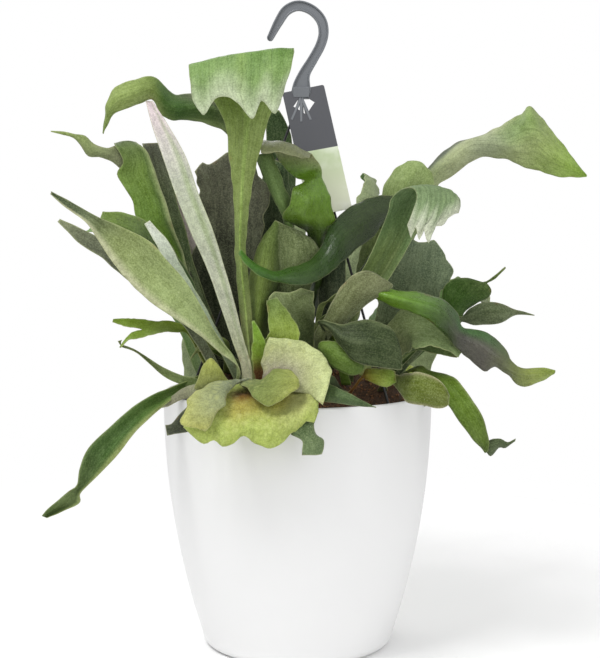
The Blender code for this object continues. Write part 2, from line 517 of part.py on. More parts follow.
# Hanger
def strip_outline(name, path, grow, depth):
    # a flat strap round a hand-set middle line, drawn once down each side
    middle = [Vector((x * CM, z * CM)) for x, z, half in path]
    left, right = [], []
    for index, point in enumerate(middle):
        along = middle[min(index + 1, len(middle) - 1)] - middle[max(index - 1, 0)]
        side = Vector((-along.y, along.x)).normalized() * (path[index][2] * CM + grow)
        left.append(point + side)
        right.append(point - side)
    outline = bpy.data.curves.new(name, "CURVE")
    outline.dimensions = "2D"
    outline.fill_mode = "BOTH"
    outline.extrude = depth / 2
    ring = outline.splines.new("POLY")
    corners = left + right[::-1]
    ring.points.add(len(corners) - 1)
    for corner, where in zip(ring.points, corners):
        corner.co = (where.x, where.y, 0, 1)
    ring.use_cyclic_u = True
    drawn = bpy.data.objects.new(name, outline)
    bpy.context.scene.collection.objects.link(drawn)
    bpy.context.view_layer.update()
    mesh = bpy.data.meshes.new_from_object(drawn.evaluated_get(bpy.context.evaluated_depsgraph_get()))
    bpy.data.objects.remove(drawn)
    bm = bmesh.new()
    bm.from_mesh(mesh)
    bmesh.ops.remove_doubles(bm, verts=bm.verts[:], dist=0.00001)
    bmesh.ops.transform(bm, matrix=Matrix.Rotation(math.pi / 2, 4, "X"), verts=bm.verts[:])
    bmesh.ops.recalc_face_normals(bm, faces=bm.faces[:])
    return bm


def box(bm, low, high, matrix=Matrix()):
    low, high = Vector(low), Vector(high)
    size = Matrix.Diagonal((high - low).to_4d())
    size[3][3] = 1
    bmesh.ops.create_cube(bm, size=1, matrix=matrix @ Matrix.Translation((low + high) / 2) @ size)


def tag_place():
    turn = Matrix.Rotation(TAG_TURN, 4, "Y")
    lean = Matrix.Rotation(-TAG_LEAN, 4, "X")
    return Matrix.Translation(Vector(TAG_TOP) * CM) @ lean @ turn


def make_hook():
    grey = material("hook_plastic", (0.16, 0.17, 0.18), 0.45)
    hook = place("hanger_hook", strip_outline("hook_strap", HOOK_PATH, 0, HOOK_THICK), grey)
    hub = bmesh.new()
    middle = HOOK_PATH[0][0] * CM
    box(hub, (middle - HUB_HALF, HUB_FRONT, HUB_LOW), (middle + HUB_HALF, HUB_BACK, HUB_HIGH))
    cut(hook, place("hub_block", hub), "UNION")
    fingers = bmesh.new()
    for slant in (-22, 0, 22):
        swing = Matrix.Translation((middle, HUB_FRONT + 0.8 * MM, HUB_LOW + MM))
        swing = swing @ Matrix.Rotation(-TAG_LEAN, 4, "X") @ Matrix.Rotation(math.radians(slant), 4, "Y")
        box(fingers, (-1.4 * MM, -0.8 * MM, -FINGER_LENGTH), (1.4 * MM, 0.8 * MM, 0), swing)
    cut(hook, place("clip_fingers", fingers), "UNION")
    hook.modifiers[-1].use_self = True
    recess = bmesh.new()
    for side in (-1, 1):
        groove = strip_outline("hook_groove", HOOK_PATH[1:], -HOOK_FLANGE, 2 * HOOK_RECESS)
        bmesh.ops.translate(groove, verts=groove.verts[:], vec=(0, side * HOOK_THICK / 2, 0))
        flat = bpy.data.meshes.new("groove")
        groove.to_mesh(flat)
        groove.free()
        recess.from_mesh(flat)
    cut(hook, place("hook_recess", recess))
    slot = bmesh.new()
    clear = TAG_THICK / 2 + GAP
    box(slot, (-TAG_WIDTH, -clear, -TAG_LENGTH), (TAG_WIDTH, clear, GAP), tag_place())
    cut(hook, place("card_slot", slot))
    return hook


def make_wires():
    dark = material("wire", (0.02, 0.02, 0.02), 0.45, 0.3)
    hub = Vector((HOOK_PATH[0][0] * CM, WIRE_START, HUB_LOW - GAP))
    for name, (x, y) in WIRE_FEET.items():
        foot = Vector((x * CM, y * CM, POT_TOP + GAP + 0.3 * MM))
        out = (foot - hub)
        out.z = 0
        top = hub + out.normalized() * WIRE_SPREAD * (0.3 if y < 0 else 0.5)
        top.z -= WIRE_RADIUS * 0.6
        line = bpy.data.curves.new(name, "CURVE")
        line.dimensions = "3D"
        line.bevel_depth = WIRE_RADIUS
        line.bevel_resolution = 2
        line.use_fill_caps = True
        run = line.splines.new("POLY")
        run.points.add(1)
        run.points[0].co = (*top, 1)
        run.points[1].co = (*foot, 1)
        line.materials.append(dark)
        fern.objects.link(bpy.data.objects.new(name, line))


def make_tag():
    bm = bmesh.new()
    half = TAG_THICK / 2
    box(bm, (-TAG_WIDTH / 2, -half, -TAG_LENGTH), (TAG_WIDTH / 2, half, 0))
    tag = place("tag", bm, material("card", (0.10, 0.10, 0.11), 0.5))
    hole = bmesh.new()
    bmesh.ops.create_cone(hole, cap_ends=True, segments=4, radius1=TAG_HOLE, radius2=TAG_HOLE,
                          depth=4 * MM, matrix=Matrix.Rotation(math.pi / 2, 4, "X"))
    bmesh.ops.translate(hole, verts=hole.verts[:], vec=(-2 * MM, 0, -13 * MM))
    cutter = place("tag_hole", hole)
    cutter.matrix_world = tag_place()
    tag.matrix_world = tag_place()
    cut(tag, cutter)
    return tag


# Fronds
def rail(stations):
    # a smooth line through the stations; each sample is a point and its half width, in metres
    points = [Vector(station) * CM for station in stations]
    points = [2 * points[0] - points[1]] + points + [2 * points[-1] - points[-2]]
    samples = []
    for before, first, second, after in zip(points, points[1:], points[2:], points[3:]):
        count = max(2, round((second - first).length / RAIL_STEP))
        for step in range(count):
            u = step / count
            samples.append(0.5 * (2 * first + (second - before) * u
                                  + (2 * before - 5 * first + 4 * second - after) * u * u
                                  + (3 * first - before - 3 * second + after) * u ** 3))
    samples.append(points[-2])
    return [(Vector(sample[:3]), max(sample[3] / 2, MM)) for sample in samples]


def toward(across, pull):
    return across + pull * (1 if pull.dot(across) >= 0 else -1)


def frames(samples, spec, across=None):
    # carries the blade's width along the line, and turns it by the rules above
    rows = []
    before = None
    look = Vector(spec.get("look", (0, -1, 0.3)))
    for index, (point, half) in enumerate(samples):
        ahead = samples[min(index + 1, len(samples) - 1)][0]
        behind = samples[max(index - 1, 0)][0]
        along = (ahead - behind).normalized()
        if across is None:
            across = along.cross(Vector(spec["face"]))
        if before is not None:
            across = toward(across, BEND_PULL * before.cross(along))
            across = toward(across, LIGHT_PULL * (point - behind).length * along.cross(look))
        across = (across - along * across.dot(along)).normalized()
        before = along
        rows.append((point, along, across, half))
    return rows


def section(half, strips, cup, roll):
    # points across the blade: its slope grows with cup, and quicker near the margins with roll
    fine = 6
    places = {strips * fine // 2: (0.0, 0.0)}
    for way in (-1, 1):
        x = z = 0.0
        for step in range(strips * fine // 2):
            t = (step + 0.5) / (strips * fine / 2)
            slope = math.radians(cup * t + roll * max(0.0, (t - 0.5) / 0.5) ** 2)
            x += way * half * math.cos(slope) / (strips * fine / 2)
            z += half * math.sin(slope) / (strips * fine / 2)
            places[strips * fine // 2 + way * (step + 1)] = (x, z)
    return [places[index * fine] for index in range(strips + 1)]


def pick(rows, start=0):
    length = sum((b[0] - a[0]).length for a, b in zip(rows, rows[1:]))
    count = max(3, round(length / ROW_STEP))
    last = len(rows) - 1
    return [rows[round(last * step / count)] for step in range(start, count + 1)]


def blade_rows(rows, strips, spec):
    grid = []
    height, count = spec.get("wave", (0, 1))
    scallop, bumps = spec.get("scallop", (0, 1))
    for index, (point, along, across, half) in enumerate(rows):
        up = across.cross(along)
        share = index / max(1, len(rows) - 1)
        open_up = min(1.0, share / 0.15)
        width = half * (1 + scallop * math.cos(2 * math.pi * bumps * share))
        line = []
        for column, (x, z) in enumerate(section(width, strips, spec.get("cup", 20), spec.get("roll", 0))):
            t = 2 * column / strips - 1
            ripple = height * CM * t * t * math.sin(2 * math.pi * count * share + 1.5 * t) * open_up
            line.append(point + across * x + up * (z + ripple))
        grid.append(line)
    return grid


def add_grid(bm, grid, stalk=None):
    columns = len(grid[0]) - 1
    made = bmesh.ops.create_grid(bm, x_segments=columns, y_segments=len(grid) - 1, size=1)["verts"]
    for index, vert in enumerate(made):
        row, column = divmod(index, columns + 1)
        vert.co = grid[row][column]
        vert[bm.verts.layers.deform.verify()][0] = stalk[row] if stalk else 0.0


def seat(spec, ground):
    # sets the root just above the rhizome, clear at every corner of the stalk's end
    x, y, width = spec["root"]
    start = Vector((x * CM, y * CM, ground(x * CM, y * CM)))
    along = (Vector(spec["path"][0][:3]) * CM - start).normalized()
    across = along.cross(Vector(spec["face"])).normalized()
    up = across.cross(along)
    lift = 0.0
    for side in (-1, -0.5, 0, 0.5, 1):
        for face in (-1, 0, 1):
            corner = start + across * width / 2 * CM * side + up * STALK / 2 * face
            lift = max(lift, ground(corner.x, corner.y) - corner.z)
    return (x, y, (start.z + lift + SEAT) / CM, width)


def make_frond(name, spec, ground, look):
    strips = spec["strips"]
    rows = frames(rail([seat(spec, ground)] + spec["path"]), spec)
    picked = pick(rows)
    grid = blade_rows(picked, strips, spec)
    stalk = []
    for point, along, across, half in picked:
        away = (point - picked[0][0]).length
        stalk.append(max(0.0, 1 - away / STALK_LENGTH) * min(1.0, 8 * MM / half))
    bm = bmesh.new()
    bm.verts.layers.deform.verify()
    add_grid(bm, grid, stalk)
    for first, last, path in spec.get("lobes", []):
        edge = grid[-1][first:last + 1]
        middle = sum(edge, Vector()) / len(edge)
        start = (*(middle / CM), (edge[-1] - edge[0]).length / CM)
        lobe = frames(rail([start] + path), spec, picked[-1][2])
        add_grid(bm, [edge] + blade_rows(pick(lobe, 1), last - first, spec))
    bmesh.ops.remove_doubles(bm, verts=bm.verts[:], dist=0.00001)
    bmesh.ops.triangulate(bm, faces=bm.faces[:], quad_method="SHORT_EDGE")
    frond = place(name, bm, look)
    frond.vertex_groups.new(name="stalk")
    skin = frond.modifiers.new("thickness", "SOLIDIFY")
    skin.thickness = STALK
    skin.offset = 0
    skin.vertex_group = "stalk"
    skin.thickness_vertex_group = BLADE / STALK
    frond.data.shade_smooth()
    return frond


def frond_look(name):
    if name in SHIELDS:
        return material("shield_yellow", GREENS["shield_yellow"], 0.6)
    key = "leaf_pale" if name in PALE else "leaf_dark" if name in DARK else "leaf_green"
    return material(key, GREENS[key], 0.55)


def main():
    for old in list(bpy.data.objects):
        bpy.data.objects.remove(old)
    bpy.context.scene.collection.children.link(fern)
    bpy.context.scene.collection.children.link(cutters)
    make_planter()
    make_nursery_pot()
    make_soil()
    rhizome = make_rhizome()
    make_hook()
    make_wires()
    make_tag()
    bpy.context.view_layer.update()
    surface = BVHTree.FromObject(rhizome, bpy.context.evaluated_depsgraph_get())

    def ground(x, y):
        hit = surface.ray_cast(Vector((x, y, 1)), Vector((0, 0, -1)))[0]
        return hit.z if hit else soil_top(x, y)

    for name, spec in FRONDS.items():
        make_frond(name, spec, ground, frond_look(name))


main()
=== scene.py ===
# A potted staghorn fern: fine fronds, felt, veins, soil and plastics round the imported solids.
import json
import math

import bmesh
import bpy
import numpy as np
from mathutils import Matrix, Vector, noise
from mathutils.bvhtree import BVHTree


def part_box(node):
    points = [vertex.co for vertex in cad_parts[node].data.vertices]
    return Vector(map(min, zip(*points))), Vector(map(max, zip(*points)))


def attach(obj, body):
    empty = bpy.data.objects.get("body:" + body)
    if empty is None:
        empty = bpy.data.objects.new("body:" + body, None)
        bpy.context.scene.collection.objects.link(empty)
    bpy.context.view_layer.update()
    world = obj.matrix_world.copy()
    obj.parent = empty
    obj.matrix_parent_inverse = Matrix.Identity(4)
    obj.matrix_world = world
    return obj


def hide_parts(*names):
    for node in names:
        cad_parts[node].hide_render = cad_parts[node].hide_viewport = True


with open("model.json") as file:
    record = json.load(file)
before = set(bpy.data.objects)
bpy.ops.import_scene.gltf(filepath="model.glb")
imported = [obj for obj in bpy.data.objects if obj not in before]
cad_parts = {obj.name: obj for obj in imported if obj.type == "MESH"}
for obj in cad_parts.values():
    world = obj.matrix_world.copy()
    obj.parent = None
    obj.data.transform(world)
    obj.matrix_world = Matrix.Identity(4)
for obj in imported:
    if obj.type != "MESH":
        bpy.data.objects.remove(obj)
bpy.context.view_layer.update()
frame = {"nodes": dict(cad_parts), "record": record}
cm = 0.01
mm = 0.001

# Camera: where the photograph was taken from
camera = dict(place=(0.0020, -1.20, 0.367), down=5.09, focal=1467, pictureWidth=600, middle=(300, 329))
cameraData = bpy.data.cameras.new("camera")
cameraData.sensor_fit = "HORIZONTAL"
cameraData.sensor_width = 36
cameraData.lens = 36 * camera["focal"] / camera["pictureWidth"]
cameraData.clip_end = 50
cameraObject = bpy.data.objects.new("camera", cameraData)
cameraObject.location = camera["place"]
cameraObject.rotation_euler = (math.radians(90 - camera["down"]), 0, 0)
bpy.context.scene.collection.objects.link(cameraObject)
bpy.context.scene.camera = cameraObject


def linear(colour):
    # a colour as a painter reads it, 0 to 255, made linear for the shader
    shares = [value / 255 for value in colour]
    return tuple(s / 12.92 if s <= 0.04045 else ((s + 0.055) / 1.055) ** 2.4 for s in shares) + (1.0,)


class Wire:
    # one output socket; + - * / ** on it build Math nodes
    def __init__(self, graph, socket):
        self.graph = graph
        self.socket = socket

    def maths(self, operation, *values):
        return self.graph.node("ShaderNodeMath", dict(operation=operation), dict(enumerate(values)))

    def __add__(self, other):
        return self.maths("ADD", self, other)

    def __radd__(self, other):
        return self.maths("ADD", other, self)

    def __sub__(self, other):
        return self.maths("SUBTRACT", self, other)

    def __rsub__(self, other):
        return self.maths("SUBTRACT", other, self)

    def __mul__(self, other):
        return self.maths("MULTIPLY", self, other)

    def __rmul__(self, other):
        return self.maths("MULTIPLY", other, self)

    def __truediv__(self, other):
        return self.maths("DIVIDE", self, other)

    def __pow__(self, other):
        return self.maths("POWER", self, other)

    def sine(self):
        return self.maths("SINE", self)

    def size(self):
        return self.maths("ABSOLUTE", self)

    def step(self, low, high):
        # smoothly 0 below low and 1 above high
        return self.graph.node("ShaderNodeMapRange", dict(interpolation_type="SMOOTHSTEP"),
                               {"Value": self, "From Min": low, "From Max": high})


class Graph:
    # a node tree being written
    def node(self, kind, settings=None, inputs=None, out=0):
        made = self.tree.nodes.new(kind)
        for key, value in (settings or {}).items():
            setattr(made, key, value)
        for key, value in (inputs or {}).items():
            self.feed(made.inputs[key], value)
        return Wire(self, made.outputs[out])

    def feed(self, socket, value):
        if isinstance(value, Wire):
            self.tree.links.new(value.socket, socket)
        else:
            socket.default_value = value


class Book(Graph):
    # a material
    def __init__(self, name):
        self.material = bpy.data.materials.new(name)
        self.material.use_nodes = True
        self.tree = self.material.node_tree
        self.shader = self.tree.nodes["Principled BSDF"]

    def set(self, **values):
        for key, value in values.items():
            self.feed(self.shader.inputs[key.replace("_", " ")], value)

    def mix(self, share, first, second):
        return self.node("ShaderNodeMix", dict(data_type="RGBA"), {0: share, 6: first, 7: second}, out=2)

    def place(self):
        return self.node("ShaderNodeTexCoord", out="Object")

    def attribute(self, name, out="Vector"):
        return self.node("ShaderNodeAttribute", dict(attribute_name=name), out=out)

    def noise(self, vector, scale, detail=2.0, rough=0.5):
        return self.node("ShaderNodeTexNoise", None,
                         {"Vector": vector, "Scale": scale, "Detail": detail, "Roughness": rough})

    def cells(self, vector, scale, feature="F1"):
        return self.node("ShaderNodeTexVoronoi", dict(feature=feature), {"Vector": vector, "Scale": scale})

    def split(self, vector):
        made = self.tree.nodes.new("ShaderNodeSeparateXYZ")
        self.feed(made.inputs[0], vector)
        return [Wire(self, made.outputs[index]) for index in range(3)]

    def join(self, x, y, z):
        return self.node("ShaderNodeCombineXYZ", None, {0: x, 1: y, 2: z})

    def tone(self, colour, saturation, value):
        return self.node("ShaderNodeHueSaturation", None,
                         {"Color": colour, "Saturation": saturation, "Value": value})

    def bump(self, height, distance, strength=1.0):
        inputs = {"Height": height, "Distance": distance, "Strength": strength}
        self.set(Normal=self.node("ShaderNodeBump", None, inputs))


class Plan(Graph):
    # a Geometry Nodes tree with its sizes as named inputs; grow runs it and keeps the plain mesh
    def __init__(self, name, **sizes):
        self.tree = bpy.data.node_groups.new(name, "GeometryNodeTree")
        interface = self.tree.interface
        interface.new_socket("Geometry", in_out="INPUT", socket_type="NodeSocketGeometry")
        self.sizes = {}
        for label, value in sizes.items():
            kind = "NodeSocketInt" if isinstance(value, int) else "NodeSocketFloat"
            made = interface.new_socket(label, in_out="INPUT", socket_type=kind)
            self.sizes[made.identifier] = value
        interface.new_socket("Geometry", in_out="OUTPUT", socket_type="NodeSocketGeometry")
        self.group = self.tree.nodes.new("NodeGroupInput")

    def given(self, label):
        return Wire(self, self.group.outputs[label])

    def random(self, low, high, kind="FLOAT"):
        first, out = (0, 0) if kind == "FLOAT_VECTOR" else (2, 1)
        return self.node("FunctionNodeRandomValue", dict(data_type=kind),
                         {first: low, first + 1: high, "Seed": self.given("Seed")}, out=out)

    def grow(self, name, mesh, geometry, material):
        real = self.node("GeometryNodeRealizeInstances", None, {0: geometry})
        dressed = self.node("GeometryNodeSetMaterial", None, {0: real, "Material": material})
        output = self.tree.nodes.new("NodeGroupOutput")
        self.feed(output.inputs[0], dressed)
        seedling = bpy.data.objects.new(name + "Seed", mesh)
        bpy.context.scene.collection.objects.link(seedling)
        modifier = seedling.modifiers.new("grow", "NODES")
        modifier.node_group = self.tree
        for identifier, value in self.sizes.items():
            modifier[identifier] = value
        grown = seedling.evaluated_get(bpy.context.evaluated_depsgraph_get())
        made = addObject(name, bpy.data.meshes.new_from_object(grown))
        bpy.data.objects.remove(seedling)
        return made


def addObject(name, mesh):
    made = bpy.data.objects.new(name, mesh)
    bpy.context.scene.collection.objects.link(made)
    return made


def finishPiece(piece, slot, *nodes):
    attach(piece, "root")
    if nodes:
        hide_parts(*nodes)


# Plastics, soil and bark
def plasticMaterial(name, colour, rough=0.4, grain=0.0002, speckle=0.02):
    book = Book(name)
    place = book.place()
    cloud = book.noise(place, 14, 3)
    dark = tuple(value * (1 - 6 * speckle) for value in linear(colour)[:3]) + (1.0,)
    book.set(Base_Color=book.mix(cloud.step(0.3, 0.75) * 0.5, linear(colour), dark))
    book.set(Roughness=rough - 0.05 + cloud * 0.1)
    book.bump(book.noise(place, 900, 2), grain, 0.3)
    return book.material


def soilMaterial(name, dark, light):
    book = Book(name)
    place = book.place()
    crumb = book.cells(place, 260)
    cloud = book.noise(place, 70, 4)
    tone = book.mix(cloud.step(0.4, 0.66), linear(dark), linear(light))
    book.set(Base_Color=book.mix(crumb.step(0.0, 0.6) * 0.6, tone, linear(dark)), Roughness=0.95)
    book.bump(crumb + book.noise(place, 500, 3), 0.001, 0.8)
    return book.material


def barkMaterial(name, dark, light):
    book = Book(name)
    place = book.place()
    x, y, z = book.split(place)
    fibre = book.noise(book.join(x * 3, y * 3, z * 0.6), 240, 4, 0.65)
    tone = book.mix(fibre.step(0.3, 0.7), linear(dark), linear(light))
    book.set(Base_Color=book.mix(book.noise(place, 60, 3).step(0.45, 0.7) * 0.5, tone, linear(dark)))
    book.set(Roughness=0.9)
    book.bump(fibre, 0.0008, 0.9)
    return book.material


# Leaf skins: the colours are painted on each blade, and a skin adds felt, veins, the pale rim and gloss
leafSkins = {
    "felt": dict(rough=0.66, felt=0.22, veins=5, vein=0.08, rim=0.28, sheen=0.10, gloss=0.15, relief=0.5 * mm),
    "fresh": dict(rough=0.46, felt=0.12, veins=5, vein=0.10, rim=0.26, sheen=0.02, gloss=0.22, relief=0.6 * mm),
    "glossy": dict(rough=0.26, felt=0.03, veins=4, vein=0.08, rim=0.20, sheen=0.0, gloss=0.45, relief=0.5 * mm),
    "shield": dict(rough=0.55, felt=0.05, veins=9, vein=0.025, rim=0.22, sheen=0.03, gloss=0.25,
                   relief=1 * mm, mottle=0.32),
}
leafTones = dict(felt=(198, 206, 164), rim=(200, 206, 150), burn=(126, 92, 60), vein=(56, 70, 30),
                 cell=(204, 208, 132))
leafGrain = dict(cloud=55, patch=210, grain=850, streak=(420, 40, 3), cell=190, cellCloud=60, burn=80,
                 net=(300, 170), wander=(2.2, 24), closeVeins=2.3, rim=(0.2 * mm, 0.9 * mm), burnt=4 * mm)


def leafMaterial(name, skin):
    book = Book(name)
    place = book.place()
    across, along, margin = book.split(book.attribute("lane"))
    share, side, under = book.split(book.attribute("spot"))
    cloud = book.noise(place, leafGrain["cloud"], 4, 0.6)
    patch = book.noise(place, leafGrain["patch"], 3, 0.55)
    wide, long, spread = leafGrain["streak"]
    streak = book.noise(book.join(across * wide, along * long, share * spread), 1.0, 3, 0.6)
    grain = book.noise(place, leafGrain["grain"], 3, 0.65)
    value = (0.63 + cloud.step(0.34, 0.66) * 0.18 + patch.step(0.34, 0.66) * 0.18
             + grain.step(0.32, 0.68) * 0.38 + streak.step(0.3, 0.7) * 0.10)
    tone = book.tone(book.attribute("tint", "Color"), 1.20 - patch * 0.24, value)

    def over(weight, key):
        return book.mix(weight, tone, linear(leafTones[key]))

    if "mottle" in skin:  # pale cells between green ones
        cell = book.cells(place, leafGrain["cell"], "DISTANCE_TO_EDGE").step(0.0, 0.5)
        tone = over(cell * book.noise(place, leafGrain["cellCloud"], 2).step(0.4, 0.6) * skin["mottle"], "cell")
    # felt: hairs too small to see singly, worn thin in streaks
    felt = grain.step(0.42, 0.68) * 0.55 + streak.step(0.40, 0.70) * 0.30 + cloud.step(0.42, 0.66) * 0.25
    tone = over(felt * skin["felt"], "felt")
    # veins fan out as the blade widens, with a faint net between them
    wide, long = leafGrain["wander"]
    wander = book.noise(book.join(side * wide, along * long, 0.3), 1.0, 2) - 0.5
    veins = skin["veins"] * math.pi
    main = ((side + wander * 0.24) * veins).sine().size()
    close = ((side + wander * 0.3) * (leafGrain["closeVeins"] * veins)).sine().size()
    vein = (1 - main.step(0.0, 0.22)) * 0.7 + (1 - close.step(0.0, 0.28)) * 0.3
    wide, long = leafGrain["net"]
    net = 1 - book.cells(book.join(across * wide, along * long, 0.0), 1.0, "DISTANCE_TO_EDGE").step(0.0, 0.12)
    tone = over((vein + net * 0.5) * skin["vein"], "vein")
    # a thin pale rim, and brown in a few places along it
    tone = over((1 - margin.step(*leafGrain["rim"])) * skin["rim"], "rim")
    burn = (1 - margin.step(0.0, leafGrain["burnt"])) * book.noise(place, leafGrain["burn"], 3).step(0.60, 0.72)
    tone = over(burn * 0.35, "burn")
    book.set(Base_Color=tone, Roughness=skin["rough"] + felt * 0.25, Sheen_Weight=skin["sheen"],
             Sheen_Roughness=0.5, Specular_IOR_Level=skin["gloss"])
    sunk = vein * (0.5 - under) * min(1.2, skin["vein"] * 12)  # veins sink above and stand proud below
    book.bump(sunk + patch * 0.5 + net * (under - 0.5) * 0.4 + grain * 0.12, skin["relief"], 0.9)
    return book.material


skinMaterials = {name: leafMaterial(name + "Leaf", skin) for name, skin in leafSkins.items()}


